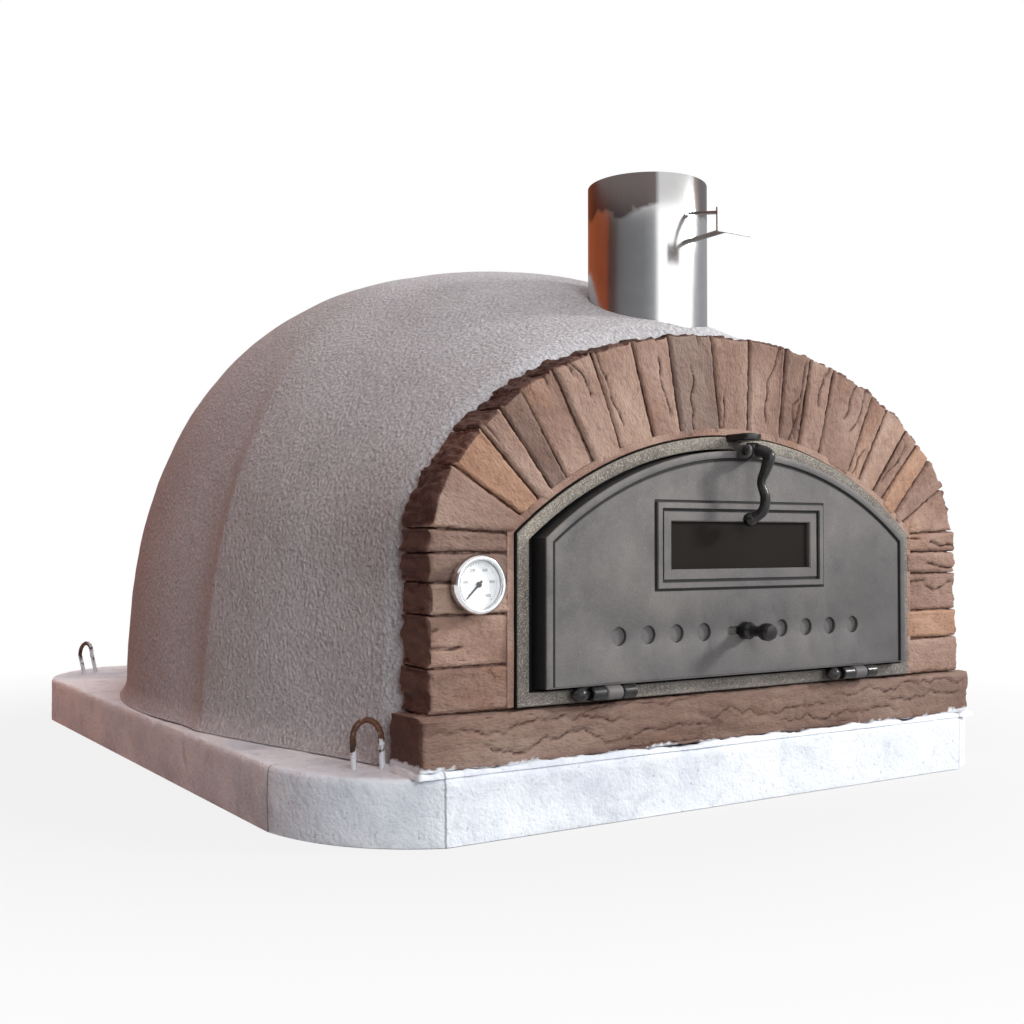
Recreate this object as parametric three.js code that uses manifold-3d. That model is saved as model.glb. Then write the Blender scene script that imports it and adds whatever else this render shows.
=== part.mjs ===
// Wood fired pizza oven: a plastered dome on a cast slab, with a stone arch, a cast iron drop-down
// door, a flue with a butterfly damper and a dial thermometer.
// Millimetres, +Z up, +X to the right of someone facing the door, -Y towards that person.
// The origin is the centre of the slab's underside.
import * as THREE from "three";
import { mergeVertices } from "three/addons/utils/BufferGeometryUtils.js";
import Module from "manifold-3d";

const wasm = await Module();
wasm.setup();

// Fits and joints shared by all pieces
const bedGap = 0.3;
const mortarJoint = 3;
const cutOverrun = 10;
const mouldingRoot = 1;

// Cast slab
const slabLedge = 107;
const slabDepth = 1270;
const slabThickness = 70;
const slabCornerWidth = 122;
const slabCornerDepth = 160;
const slabEdgeBevel = 4;
const slabCornerPullShares = { width: 0.83, depth: 0.74 };

// Front sill
const sillOverhang = 13;
const sillHeight = 59;
const sillDepth = 72;
const sillSetback = 4;
const sillBevel = 5;

// Stone arch
const archSetback = 12;
const archDepth = 64;
const archSideWidth = 103;
const archShoulderDrop = 25;
const archCrownWidth = 120;
const archSpringRise = 5;
const stoneBevel = 3;
const stoneRuggedness = 4;
const stoneRecess = 2.4;
const unevenTurn = 12.9898;
const unevenSpread = 43.7585;
const recessSeed = 31;
const outerSeed = 7;
const frameToStoneGap = 1;
const voussoirOuterShares = [
  0, 0.07, 0.121, 0.153, 0.187, 0.236, 0.291, 0.35, 0.404, 0.469, 0.531,
  0.593, 0.637, 0.679, 0.756, 0.789, 0.834, 0.862, 0.891, 0.937, 1,
];
const voussoirInnerShares = [
  0, 0.032, 0.073, 0.101, 0.135, 0.195, 0.255, 0.328, 0.387, 0.478, 0.541,
  0.617, 0.668, 0.721, 0.805, 0.837, 0.879, 0.906, 0.951, 0.976, 1,
];
const leftLegShares = [0, 0.242, 0.526, 0.703, 0.864, 1];
const rightLegShares = [0, 0.242, 0.438, 0.7, 0.85, 1];

// Plastered dome, insulation, brick chamber and entrance vault
const domeSideMargin = 16;
const domeBackMargin = 33;
const domeFrontReach = 69;
const domeHeight = 631;
const domeFullness = 2.4;
const domeFootFlare = 9;
const domeFootHeight = 26;
const neckInset = 10;
const neckLength = 260;
const plasterBlend = 190;
const plasterBlendRun = 20;
const plasterBlendFrontShare = 0.65;
const footCrowdingShare = 0.11;
const plasterThickness = 22;
const insulationSide = 33;
const insulationBack = 45;
const insulationTop = 119;
const refractoryThickness = 50;
const vaultLength = 184;
const vaultSideInset = 48;
const vaultSpringDrop = 8;
const vaultRise = 78;
const vaultOverlap = 115;
const hearthThickness = 30;

// Door frame
const framePride = 4;
const frameHalfWidth = 300;
const frameSideHeight = 179;
const frameRise = 112;
const frameDepth = 50;
const frameBorder = 15;
const lipWidth = 22;
const lipThickness = 8;
const lipGap = 1.5;
const lugRoot = 5;

// Door leaf
const leafPride = 14;
const leafDepth = 25;
const leafSideGap = 10;
const leafTopGap = 2;
const leafBottomGap = 3.4;
const leafRise = 100;
const leafWall = 6;
const beadInset = 8;
const beadWidth = 3.4;
const beadPride = 1.6;
const beadBreak = 33;

// Viewing window
const windowWidth = 214;
const windowHeight = 53;
const windowLift = 121;
const mouldingMargin = 24;
const mouldingWidth = 4;
const mouldingPride = 3;
const mouldingStep = 10;
const mouldingStepShare = 0.65;
const glassThickness = 4;
const glassLap = 4;
const retainerRim = 9;
const retainerThickness = 8;

// Air holes and slider
const airHoleRadius = 10;
const airHolePitch = 40;
const airHoleCount = 4;
const airFirstHole = 60;
const airLift = 50.5;
const airTravel = 20;
const sliderHalfHeight = 14.5;
const sliderThickness = 3;
const sliderMargin = 16;
const railWidth = 5;
const railLip = 4;
const railClearance = 0.5;
const railThickness = 3;

// Slider knob
const knobStemRadius = 4;
const knobTailRadius = 2.5;
const knobTailLength = 4;
const knobLength = 50;
const knobRadius = 10;
const knobStandoff = 1;
const knobProfileShares = [
  [1, 0.26], [0.66, 0.34], [0.6, 0.56], [1, 0.74], [1, 0.93], [0.85, 1],
];

// Door hinges
const hingeInset = 86;
const hingeDrop = 8;
const leafKnuckleLength = 21;
const frameKnuckleLength = 18;
const knuckleRadius = 7.5;
const knuckleGap = 0.6;
const pinRadius = 3;
const pinClearance = 0.3;
const finialLength = 25;
const finialRadius = 8;
const finialProfileShares = [[0.45, 0.82], [0.85, 0.5], [1, 0.25]];
const finialNeckShare = 0.85;
const rivetCrownShare = 0.7;
const rivetRadius = 5;
const rivetThickness = 2.5;
const tabHalfWidth = 38;
const tabThickness = 4;
const tabClearance = 1;

// Latch
const latchForward = 16;
const latchDrop = 1;
const leverHubRadius = 9;
const leverHubWidth = 14;
const leverRodRadius = 6;
const leverReach = 22;
const leverDrop = 78;
const leverBallRadius = 7;
const leverPathShares = [
  [0, 0], [0.55, -0.02], [0.95, 0.08], [0.97, 0.4], [0.9, 0.68], [0.6, 0.92], [-0.2, 1],
];
const noseGap = 2.6;
const noseHalfLength = 4;
const earThickness = 4;
const earClearance = 0.6;
const earRadius = 8;
const keeperRise = 11.2;
const keeperLength = 35;
const keeperHalfWidth = 13;
const keeperThickness = 8;
const keeperBevel = 1;
const keeperRootDepth = 0.5;

// Dial thermometer
const thermometerOffset = 51;
const thermometerLift = 127.5;
const caseRadius = 27.5;
const caseDepth = 14;
const caseWall = 2;
const caseBackShare = 0.93;
const bezelRadius = 30;
const bezelLip = 5.5;
const bezelDepth = 5;
const bezelStep = 1;
const dialThickness = 1;
const lensThickness = 1.5;
const pointerLength = 20;
const pointerWidth = 2.4;
const pointerThickness = 0.8;
const pointerTailShare = 0.25;
const pointerTipShare = 0.5;
const pointerHubRadius = 3;
const pointerHubThickness = 1.2;
const pointerRestDegrees = -135;
const probeRadius = 3;
const probeLength = 200;

// Flue pipe and damper
const pipeRadius = 75;
const pipeWall = 2;
const pipeRise = 206.9;
const pipeBehindArch = 92;
const pipeSeatShare = 0.3;
const damperDrop = 83;
const damperClearance = 1.5;
const damperThickness = 2;
const spindleRadius = 3;
const spindleReach = 83;
const strapWidth = 54;
const strapHeight = 28;
const strapThickness = 2.5;
const strapArmRise = 36;
const strapArmWidth = 8;
const strapArmGap = 3;
const strapArmRoot = 3.75;
const strapDropShare = 0.28;
const strapArmShare = 0.6;
const bossShare = 0.9;

// Lifting hooks
const hookBarRadius = 3;
const hookSpread = 32;
const hookHeight = 51;
const hookEmbed = 40;
const hookSillGap = 14;
const hookInsetY = 88;
const hookTurnShare = 0.19;
const hookLean = 9;
const hookSocketGap = 0.4;
const hookCrownShare = 0.75;

// Facet counts and the tolerances of the numeric work
const mergeTolerance = 1e-4;
const fieldFloor = 1e-6;
const bisections = 40;
const barSides = 20;
const boreSides = 16;
const ovoidRings = 6;
const ovoidSides = 24;
const plasterSections = 22;
const plasterRays = 30;
const pipeSides = 48;
const hookSteps = 14;
const hookSides = 4;
const socketSides = 10;
const leverSteps = 12;
const ballSides = 12;
const dialSides = 24;
const discSides = 40;

// Levels and planes worked out from the sizes above
const innerHalfWidth = frameHalfWidth + frameToStoneGap;
const archHalfWidth = innerHalfWidth + archSideWidth;
const archCrownRise = frameRise + archCrownWidth + archShoulderDrop;
const sillHalfLength = archHalfWidth + sillOverhang;
const slabTop = slabThickness;
const slabHalfWidth = archHalfWidth + slabLedge;
const slabHalfDepth = slabDepth / 2;
const sillFrontY = -slabHalfDepth + sillSetback;
const sillBottom = slabTop + bedGap;
const sillTop = sillBottom + sillHeight;
const archFrontY = -slabHalfDepth + archSetback;
const archBackY = archFrontY + archDepth;
const neckFrontY = archBackY + bedGap;
const stoneBottom = sillTop + bedGap;
const archShoulder = stoneBottom + frameSideHeight - archShoulderDrop;
const archSpring = stoneBottom + frameSideHeight + archSpringRise;
const frameFrontY = archFrontY - framePride;
const leafFrontY = frameFrontY - leafPride;
const leafBackY = leafFrontY + leafDepth;
const leafPocketY = leafFrontY + leafWall;
const pipeCentreY = archBackY + pipeBehindArch;
const pipeTop = archShoulder + archCrownRise + pipeRise;

// Solids: a closed geometry becomes a manifold solid, and a solid becomes a geometry again
function solid(geometry) {
  const bare = geometry.clone();
  bare.deleteAttribute("normal");
  bare.deleteAttribute("uv");
  const merged = mergeVertices(bare, mergeTolerance);
  return new wasm.Manifold(new wasm.Mesh({
    numProp: 3,
    vertProperties: new Float32Array(merged.attributes.position.array),
    triVerts: new Uint32Array(merged.index.array),
  }));
}

function geometryOf(body) {
  const mesh = body.getMesh();
  const geometry = new THREE.BufferGeometry();
  geometry.setAttribute("position", new THREE.BufferAttribute(mesh.vertProperties, 3));
  geometry.setIndex(new THREE.BufferAttribute(mesh.triVerts, 1));
  return geometry;
}

function join(first, ...others) {
  return others.reduce((sum, other) => sum.add(other), first);
}

function cut(first, ...others) {
  return others.reduce((rest, other) => rest.subtract(other), first);
}

// A block between two corners
function block(x0, x1, y0, y1, z0, z1) {
  const geometry = new THREE.BoxGeometry(x1 - x0, y1 - y0, z1 - z0);
  geometry.translate((x0 + x1) / 2, (y0 + y1) / 2, (z0 + z1) / 2);
  return solid(geometry);
}

// A round bar along one axis, from one place on that axis to another
function bar(axis, radius, from, to, centre, sides = barSides) {
  const geometry = new THREE.CylinderGeometry(radius, radius, to - from, sides);
  if (axis === "x") {
    geometry.rotateZ(-Math.PI / 2);
    geometry.translate((from + to) / 2, centre.y, centre.z);
  } else if (axis === "y") {
    geometry.translate(centre.x, (from + to) / 2, centre.z);
  } else {
    geometry.rotateX(Math.PI / 2);
    geometry.translate(centre.x, centre.y, (from + to) / 2);
  }
  return solid(geometry);
}

// A shape drawn in X and Z as seen from the front, run from one Y to another
function frontExtrude(shape, yFront, yBack, bevel = 0, curveSegments = 12) {
  const geometry = new THREE.ExtrudeGeometry(shape, {
    depth: yBack - yFront - 2 * bevel,
    bevelEnabled: bevel > 0,
    bevelThickness: bevel,
    bevelSize: bevel,
    bevelOffset: -bevel,
    bevelSegments: 1,
    curveSegments,
  });
  geometry.rotateX(Math.PI / 2);
  geometry.translate(0, yBack - bevel, 0);
  return solid(geometry);
}

// A shape drawn in X and Y as seen from above, run from one Z to another
function floorExtrude(shape, zLow, zHigh, bevel = 0, curveSegments = 10) {
  const geometry = new THREE.ExtrudeGeometry(shape, {
    depth: zHigh - zLow - 2 * bevel,
    bevelEnabled: bevel > 0,
    bevelThickness: bevel,
    bevelSize: bevel,
    bevelOffset: -bevel,
    bevelSegments: 1,
    curveSegments,
  });
  geometry.translate(0, 0, zLow + bevel);
  return solid(geometry);
}

function rectangle(x0, x1, y0, y1) {
  const shape = new THREE.Shape();
  shape.moveTo(x0, y0);
  shape.lineTo(x1, y0);
  shape.lineTo(x1, y1);
  shape.lineTo(x0, y1);
  shape.closePath();
  return shape;
}

// A turned form: [radius, height] points from axis to axis, spun about +Z and then laid along -Y
function turnedForward(points, centre, sides = 20) {
  const profile = points.map(([radius, height]) => new THREE.Vector2(radius, height));
  const geometry = new THREE.LatheGeometry(profile, sides);
  geometry.rotateX(Math.PI);
  geometry.translate(centre.x, centre.y, centre.z);
  return solid(geometry);
}

// An upright door-shaped outline: straight sides, then one arc over the top
function archOf(halfWidth, bottom, spring, apex) {
  const rise = apex - spring;
  const radius = (halfWidth * halfWidth + rise * rise) / (2 * rise);
  return { halfWidth, bottom, radius, centreZ: apex - radius };
}

function insetArch(arch, inset) {
  return {
    halfWidth: arch.halfWidth - inset,
    bottom: arch.bottom + inset,
    radius: arch.radius - inset,
    centreZ: arch.centreZ,
  };
}

function archSpringZ(arch) {
  return arch.centreZ + Math.sqrt(arch.radius ** 2 - arch.halfWidth ** 2);
}

function archShape(arch) {
  const spring = archSpringZ(arch);
  const angle = Math.atan2(spring - arch.centreZ, arch.halfWidth);
  const shape = new THREE.Shape();
  shape.moveTo(-arch.halfWidth, arch.bottom);
  shape.lineTo(arch.halfWidth, arch.bottom);
  shape.lineTo(arch.halfWidth, spring);
  shape.absarc(0, arch.centreZ, arch.radius, angle, Math.PI - angle, false);
  shape.closePath();
  return shape;
}

// A superellipsoid standing on a plane, round in plan and fuller than an ellipse in height
function ovoid(centreY, halfWidth, halfDepth, height, base, skirt = 0) {
  const steps = ovoidRings;
  const profile = [new THREE.Vector2(0, -skirt), new THREE.Vector2(1, -skirt)];
  if (skirt > 0) {
    profile.push(new THREE.Vector2(1, 0));
  }
  for (let i = 1; i < steps; i += 1) {
    const angle = (Math.PI / 2) * (i / steps);
    profile.push(new THREE.Vector2(
      Math.cos(angle) ** (2 / domeFullness),
      height * Math.sin(angle) ** (2 / domeFullness),
    ));
  }
  profile.push(new THREE.Vector2(0, height));
  const geometry = new THREE.LatheGeometry(profile, ovoidSides);
  geometry.rotateX(Math.PI / 2);
  geometry.scale(halfWidth, halfDepth, 1);
  geometry.translate(0, centreY, base);
  return solid(geometry);
}

// Finishes
function finish(color, roughness, metalness) {
  return new THREE.MeshStandardMaterial({ color, roughness, metalness });
}
const plasterWhite = finish(0xc9c9cd, 0.92, 0);
const slabPlaster = finish(0xd6dbe2, 0.9, 0);
const castStone = finish(0x8a6a5e, 0.85, 0);
const insulationFill = finish(0xb8a888, 1, 0);
const fireBrick = finish(0xc08a62, 0.95, 0);
const castIron = finish(0x54555a, 0.55, 0.6);
const blackIron = finish(0x1a1a1c, 0.35, 0.6);
const darkGlass = finish(0x24211f, 0.15, 0);
const stainless = finish(0xb9bcc2, 0.28, 1);
const chrome = finish(0xd8dadd, 0.12, 1);
const dialWhite = finish(0xe9eae8, 0.5, 0);
const pointerBlack = finish(0x16161a, 0.5, 0);
const clearGlass = finish(0xeef2f4, 0.05, 0);
const rebarSteel = finish(0x4a4038, 0.7, 0.7);

const oven = new THREE.Group();
const nodeGroups = {};

function groupNamed(name) {
  if (!nodeGroups[name]) {
    nodeGroups[name] = new THREE.Group();
    oven.add(nodeGroups[name]);
  }
  return nodeGroups[name];
}

function addPiece(name, body, material, group = "masonry") {
  const mesh = new THREE.Mesh(geometryOf(body), material);
  mesh.name = name;
  groupNamed(group).add(mesh);
}

// Cast slab with straight sides and drawn-in corners, and sockets for the lifting hooks
function slabOutline() {
  const straightX = slabHalfWidth - slabCornerWidth;
  const straightY = slabHalfDepth - slabCornerDepth;
  const pullX = straightX + slabCornerWidth * slabCornerPullShares.width;
  const pullY = straightY + slabCornerDepth * slabCornerPullShares.depth;
  const shape = new THREE.Shape();
  shape.moveTo(-straightX, -slabHalfDepth);
  shape.lineTo(straightX, -slabHalfDepth);
  shape.quadraticCurveTo(pullX, -pullY, slabHalfWidth, -straightY);
  shape.lineTo(slabHalfWidth, straightY);
  shape.quadraticCurveTo(pullX, pullY, straightX, slabHalfDepth);
  shape.lineTo(-straightX, slabHalfDepth);
  shape.quadraticCurveTo(-pullX, pullY, -slabHalfWidth, straightY);
  shape.lineTo(-slabHalfWidth, -straightY);
  shape.quadraticCurveTo(-pullX, -pullY, -straightX, -slabHalfDepth);
  return shape;
}

// A hook's two feet, across the slab's corner, and the way it leans
function hookPlaces(sideX, sideY) {
  const turn = hookTurnShare * Math.PI;
  const along = new THREE.Vector3(sideX * Math.cos(turn), -sideY * Math.sin(turn), 0);
  const outward = new THREE.Vector3(sideX * Math.sin(turn), sideY * Math.cos(turn), 0);
  const centre = new THREE.Vector3(
    sideX * (sillHalfLength + hookSillGap),
    sideY * (slabHalfDepth - hookInsetY),
    slabTop,
  );
  const half = hookSpread / 2 - hookBarRadius;
  return {
    outward,
    centre,
    feet: [centre.clone().addScaledVector(along, -half), centre.clone().addScaledVector(along, half)],
  };
}

function liftingHook(sideX, sideY) {
  const { outward, centre, feet } = hookPlaces(sideX, sideY);
  const half = hookSpread / 2 - hookBarRadius;
  const straight = hookHeight - hookBarRadius - half;
  const path = new THREE.CurvePath();
  const lift = new THREE.Vector3(0, 0, straight).addScaledVector(outward, hookLean);
  const low = feet.map((foot) => foot.clone().setZ(slabTop - hookEmbed));
  const neck = feet.map((foot) => foot.clone().setZ(slabTop + 2 * hookBarRadius));
  const high = feet.map((foot) => foot.clone().add(lift));
  const crown = centre.clone().add(lift).setZ(slabTop + straight + half / hookCrownShare);
  path.add(new THREE.LineCurve3(low[0], neck[0]));
  path.add(new THREE.LineCurve3(neck[0], high[0]));
  path.add(new THREE.CubicBezierCurve3(
    high[0],
    high[0].clone().setZ(crown.z),
    high[1].clone().setZ(crown.z),
    high[1],
  ));
  path.add(new THREE.LineCurve3(high[1], neck[1]));
  path.add(new THREE.LineCurve3(neck[1], low[1]));
  const section = new THREE.Shape();
  section.absarc(0, 0, hookBarRadius, 0, 2 * Math.PI, false);
  const geometry = new THREE.ExtrudeGeometry(section, {
    steps: hookSteps,
    extrudePath: path,
    bevelEnabled: false,
    curveSegments: hookSides,
  });
  return solid(geometry);
}

function hookSocket(foot) {
  const radius = hookBarRadius / Math.cos(Math.PI / socketSides) + hookSocketGap;
  return bar("z", radius, slabTop - hookEmbed - bedGap, slabTop + cutOverrun, foot, socketSides);
}

const hookCorners = [
  ["front_left", -1, -1], ["front_right", 1, -1], ["rear_left", -1, 1], ["rear_right", 1, 1],
];
const sockets = hookCorners.flatMap(([, sideX, sideY]) => hookPlaces(sideX, sideY).feet.map(hookSocket));
addPiece("base_slab", cut(floorExtrude(slabOutline(), 0, slabTop, slabEdgeBevel), ...sockets), slabPlaster);
for (const [place, sideX, sideY] of hookCorners) {
  addPiece(`lifting_hook_${place}`, liftingHook(sideX, sideY), rebarSteel);
}

// Front sill under the arch
const sill = frontExtrude(
  rectangle(-sillHalfLength, sillHalfLength, sillBottom, sillTop),
  sillFrontY,
  sillFrontY + sillDepth,
  sillBevel,
);
addPiece("front_sill", sill, castStone);

// Outlines of the door frame, its opening and the door leaf
const frameArch = archOf(
  frameHalfWidth,
  stoneBottom,
  stoneBottom + frameSideHeight,
  stoneBottom + frameSideHeight + frameRise,
);
const openingArch = insetArch(frameArch, frameBorder);
const leafApex = openingArch.centreZ + openingArch.radius - leafTopGap;
const leafArch = archOf(
  openingArch.halfWidth - leafSideGap,
  openingArch.bottom + leafBottomGap,
  leafApex - leafRise,
  leafApex,
);
const lipArch = { ...insetArch(openingArch, lipWidth), bottom: openingArch.bottom };

// Stone arch: jambs in courses, then voussoirs between an ellipse outside and the frame's arc inside
const innerRadius = frameArch.radius + frameToStoneGap;
const innerSpring = archSpringZ(frameArch);
const innerStart = Math.atan2(
  Math.sqrt(innerRadius ** 2 - innerHalfWidth ** 2),
  innerHalfWidth,
);
const outerStart = Math.asin((archSpring - archShoulder) / archCrownRise);
const outerCurve = new THREE.EllipseCurve(
  0, archShoulder, archHalfWidth, archCrownRise, Math.PI - outerStart, outerStart, true,
);
const innerCurve = new THREE.EllipseCurve(
  0, frameArch.centreZ, innerRadius, innerRadius, Math.PI - innerStart, innerStart, true,
);

// A steady, uneven share between 0 and 1 for the stone with a given number
function unevenShare(number) {
  const turned = Math.sin(number * unevenTurn) * unevenSpread;
  return turned - Math.floor(turned);
}

// The probe hole of the thermometer, which runs through the stones behind it
const thermometerCentre = {
  x: -innerHalfWidth - thermometerOffset,
  y: archFrontY - bedGap,
  z: stoneBottom + thermometerLift,
};
const probeHole = bar(
  "y",
  probeRadius + bedGap,
  archFrontY - cutOverrun,
  archFrontY - bedGap + probeLength + cutOverrun,
  thermometerCentre,
  boreSides,
);

function stone(points, number) {
  const outline = new THREE.Shape(points);
  const front = archFrontY + stoneRecess * unevenShare(number + recessSeed);
  return frontExtrude(outline, front, archBackY, stoneBevel);
}

function jambStones(side, shares, name, firstNumber) {
  const height = archSpring - stoneBottom;
  for (let i = 0; i + 1 < shares.length; i += 1) {
    const last = i + 2 === shares.length;
    const low = stoneBottom + shares[i] * height + (i > 0 ? mortarJoint / 2 : 0);
    const high = stoneBottom + shares[i + 1] * height - mortarJoint / 2;
    const innerHigh = last ? innerSpring - mortarJoint / 2 : high;
    const outer = archHalfWidth - stoneRuggedness * unevenShare(firstNumber + i + outerSeed);
    const points = [
      new THREE.Vector2(side * innerHalfWidth, low),
      new THREE.Vector2(side * outer, low),
      new THREE.Vector2(side * outer, high),
      new THREE.Vector2(side * innerHalfWidth, innerHigh),
    ];
    const body = stone(side > 0 ? points : points.reverse(), firstNumber + i);
    addPiece(`${name}_${i + 1}`, side < 0 ? cut(body, probeHole) : body, castStone, "arch");
  }
}

function voussoirs() {
  const outerLength = outerCurve.getLength();
  const innerLength = innerCurve.getLength();
  for (let i = 0; i + 1 < voussoirOuterShares.length; i += 1) {
    const outerEase = mortarJoint / 2 / outerLength;
    const innerEase = mortarJoint / 2 / innerLength;
    const outerFrom = voussoirOuterShares[i] + outerEase;
    const outerTo = voussoirOuterShares[i + 1] - outerEase;
    const innerFrom = voussoirInnerShares[i] + innerEase;
    const innerTo = voussoirInnerShares[i + 1] - innerEase;
    const tuck = 1 - (stoneRuggedness / archHalfWidth) * unevenShare(i);
    const points = [];
    for (const share of [outerFrom, (outerFrom + outerTo) / 2, outerTo]) {
      const point = outerCurve.getPointAt(share);
      points.push(new THREE.Vector2(point.x * tuck, archShoulder + (point.y - archShoulder) * tuck));
    }
    for (const share of [innerTo, (innerFrom + innerTo) / 2, innerFrom]) {
      points.push(innerCurve.getPointAt(share));
    }
    addPiece(`voussoir_${i + 1}`, stone(points, i), castStone, "arch");
  }
}
jambStones(-1, leftLegShares, "jamb_left", voussoirOuterShares.length);
voussoirs();
jambStones(1, rightLegShares, "jamb_right", voussoirOuterShares.length + leftLegShares.length);

// Dome and neck outside: two fields in millimetres, blended, and lofted in sections along Y
const domeHalfWidth = slabHalfWidth - domeSideMargin;
const domeBackY = slabHalfDepth - domeBackMargin;
const domeFrontY = archBackY - domeFrontReach;
const domeHalfDepth = (domeBackY - domeFrontY) / 2;
const domeCentreY = (domeBackY + domeFrontY) / 2;
const plasterBase = slabTop + bedGap;
const neckHalfWidth = archHalfWidth - neckInset;
const neckRise = archCrownRise - neckInset;
const neckEndY = neckFrontY + neckLength;

function domeField(x, y, z) {
  const height = z - plasterBase;
  const flare = domeFootFlare * Math.max(0, 1 - height / domeFootHeight) ** 2;
  const plan = Math.hypot(x / (domeHalfWidth + flare), (y - domeCentreY) / (domeHalfDepth + flare));
  const gauge = (plan ** domeFullness + Math.max(0, height / domeHeight) ** domeFullness) ** (1 / domeFullness);
  return Math.hypot(x, y - domeCentreY, height) * (1 - 1 / Math.max(gauge, fieldFloor));
}

function neckField(x, y, z) {
  const over = z - archShoulder;
  const flare = domeFootFlare * Math.max(0, 1 - (z - plasterBase) / domeFootHeight) ** 2;
  let side = Math.abs(x) - neckHalfWidth - flare;
  if (over > 0) {
    const gauge = Math.hypot(x / neckHalfWidth, over / neckRise);
    side = Math.hypot(x, over) * (1 - 1 / Math.max(gauge, fieldFloor));
  }
  return Math.max(side, y - neckEndY);
}

// The fillet between dome and neck, which narrows over a short run where the plaster meets the arch
function plasterField(x, y, z) {
  const run = Math.min(1, (y - neckFrontY) / plasterBlendRun);
  const blend = plasterBlend * (plasterBlendFrontShare + (1 - plasterBlendFrontShare) * run);
  const dome = domeField(x, y, z);
  const neck = neckField(x, y, z);
  const near = Math.max(blend - Math.abs(dome - neck), 0) / blend;
  return Math.min(dome, neck) - (near * near * blend) / 4;
}

function plasterRay(y, angle) {
  let inside = 0;
  let outside = 2 * slabHalfWidth;
  for (let i = 0; i < bisections; i += 1) {
    const middle = (inside + outside) / 2;
    if (plasterField(middle * Math.cos(angle), y, plasterBase + middle * Math.sin(angle)) < 0) {
      inside = middle;
    } else {
      outside = middle;
    }
  }
  return inside;
}

// Ray angles lie closer together at the foot, where the plaster flares onto the slab
function rayAngle(step) {
  const share = step / plasterRays;
  return Math.PI * (share - footCrowdingShare * Math.sin(2 * Math.PI * share));
}

function plasterOutside() {
  const positions = [];
  const faces = [];
  const row = plasterRays + 1;
  const sweepFrontY = neckFrontY + plasterBlendRun;
  const places = [neckFrontY];
  for (let i = 0; i < plasterSections; i += 1) {
    const share = Math.sin((Math.PI / 2) * (i / plasterSections));
    places.push(sweepFrontY + (domeBackY - sweepFrontY) * share);
  }
  for (const y of places) {
    for (let j = 0; j <= plasterRays; j += 1) {
      const angle = rayAngle(j);
      const radius = plasterRay(y, angle);
      positions.push(radius * Math.cos(angle), y, plasterBase + radius * Math.sin(angle));
    }
  }
  const pole = positions.length / 3;
  positions.push(0, domeBackY + domeFootFlare, plasterBase);
  const hub = pole + 1;
  positions.push(0, neckFrontY, plasterBase);
  for (let i = 0; i + 1 < places.length; i += 1) {
    for (let j = 0; j < plasterRays; j += 1) {
      const a = i * row + j;
      const b = a + row;
      faces.push(a, b, b + 1, a, b + 1, a + 1);
    }
    const right = i * row;
    const left = right + plasterRays;
    faces.push(right, left, left + row, right, left + row, right + row);
  }
  const last = (places.length - 1) * row;
  for (let j = 0; j < plasterRays; j += 1) {
    faces.push(last + j, pole, last + j + 1);
    faces.push(hub, j, j + 1);
  }
  faces.push(last, last + plasterRays, pole);
  faces.push(hub, plasterRays, 0);
  const geometry = new THREE.BufferGeometry();
  geometry.setAttribute("position", new THREE.Float32BufferAttribute(positions, 3));
  geometry.setIndex(faces);
  return solid(geometry);
}

// The neck's cross-section, an arch on straight legs, shrunk by a given wall
function neckShape(wall) {
  const halfWidth = neckHalfWidth - wall;
  const shape = new THREE.Shape();
  shape.moveTo(-halfWidth, slabTop - cutOverrun);
  shape.lineTo(halfWidth, slabTop - cutOverrun);
  shape.lineTo(halfWidth, archShoulder);
  shape.absellipse(0, archShoulder, halfWidth, neckRise - wall, 0, Math.PI, false);
  shape.closePath();
  return shape;
}

// Brick chamber and entrance vault
const chamberHalfWidth = domeHalfWidth - plasterThickness - insulationSide - refractoryThickness;
const chamberHeight = domeHeight - plasterThickness - insulationTop - refractoryThickness;
const chamberBackY = domeBackY - plasterThickness - insulationBack - refractoryThickness;
const chamberFrontY = archBackY + vaultLength;
const chamberHalfDepth = (chamberBackY - chamberFrontY) / 2;
const chamberCentreY = (chamberBackY + chamberFrontY) / 2;

function chamber(grow, skirt = 0) {
  return ovoid(
    chamberCentreY,
    chamberHalfWidth + grow,
    chamberHalfDepth + grow,
    chamberHeight + grow,
    plasterBase,
    skirt,
  );
}

const vaultHalfWidth = frameHalfWidth - vaultSideInset;
const vaultSpring = stoneBottom + frameSideHeight - vaultSpringDrop;
const vaultArch = archOf(vaultHalfWidth, slabTop - cutOverrun, vaultSpring, vaultSpring + vaultRise);

function vaultPrism(grow, yFront, yBack, bottom) {
  const arch = { ...insetArch(vaultArch, -grow), bottom };
  return frontExtrude(archShape(arch), yFront, yBack, 0, 16);
}

const vaultBackY = chamberFrontY + vaultOverlap;
const vaultPassage = vaultPrism(
  0,
  neckFrontY - cutOverrun,
  vaultBackY + refractoryThickness + cutOverrun,
  slabTop - cutOverrun,
);
const pipeCentre = { x: 0, y: pipeCentreY, z: 0 };
const flueHole = bar(
  "z", pipeRadius + bedGap, archSpringZ(vaultArch), pipeTop + cutOverrun, pipeCentre, pipeSides,
);

const refractoryDome = cut(chamber(refractoryThickness), chamber(0, cutOverrun), vaultPassage);
addPiece("refractory_dome", refractoryDome, fireBrick);

const entranceVault = cut(
  vaultPrism(refractoryThickness, neckFrontY, vaultBackY, plasterBase),
  vaultPassage,
  chamber(refractoryThickness + bedGap, cutOverrun),
  flueHole,
);
addPiece("entrance_vault", entranceVault, fireBrick);

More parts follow.
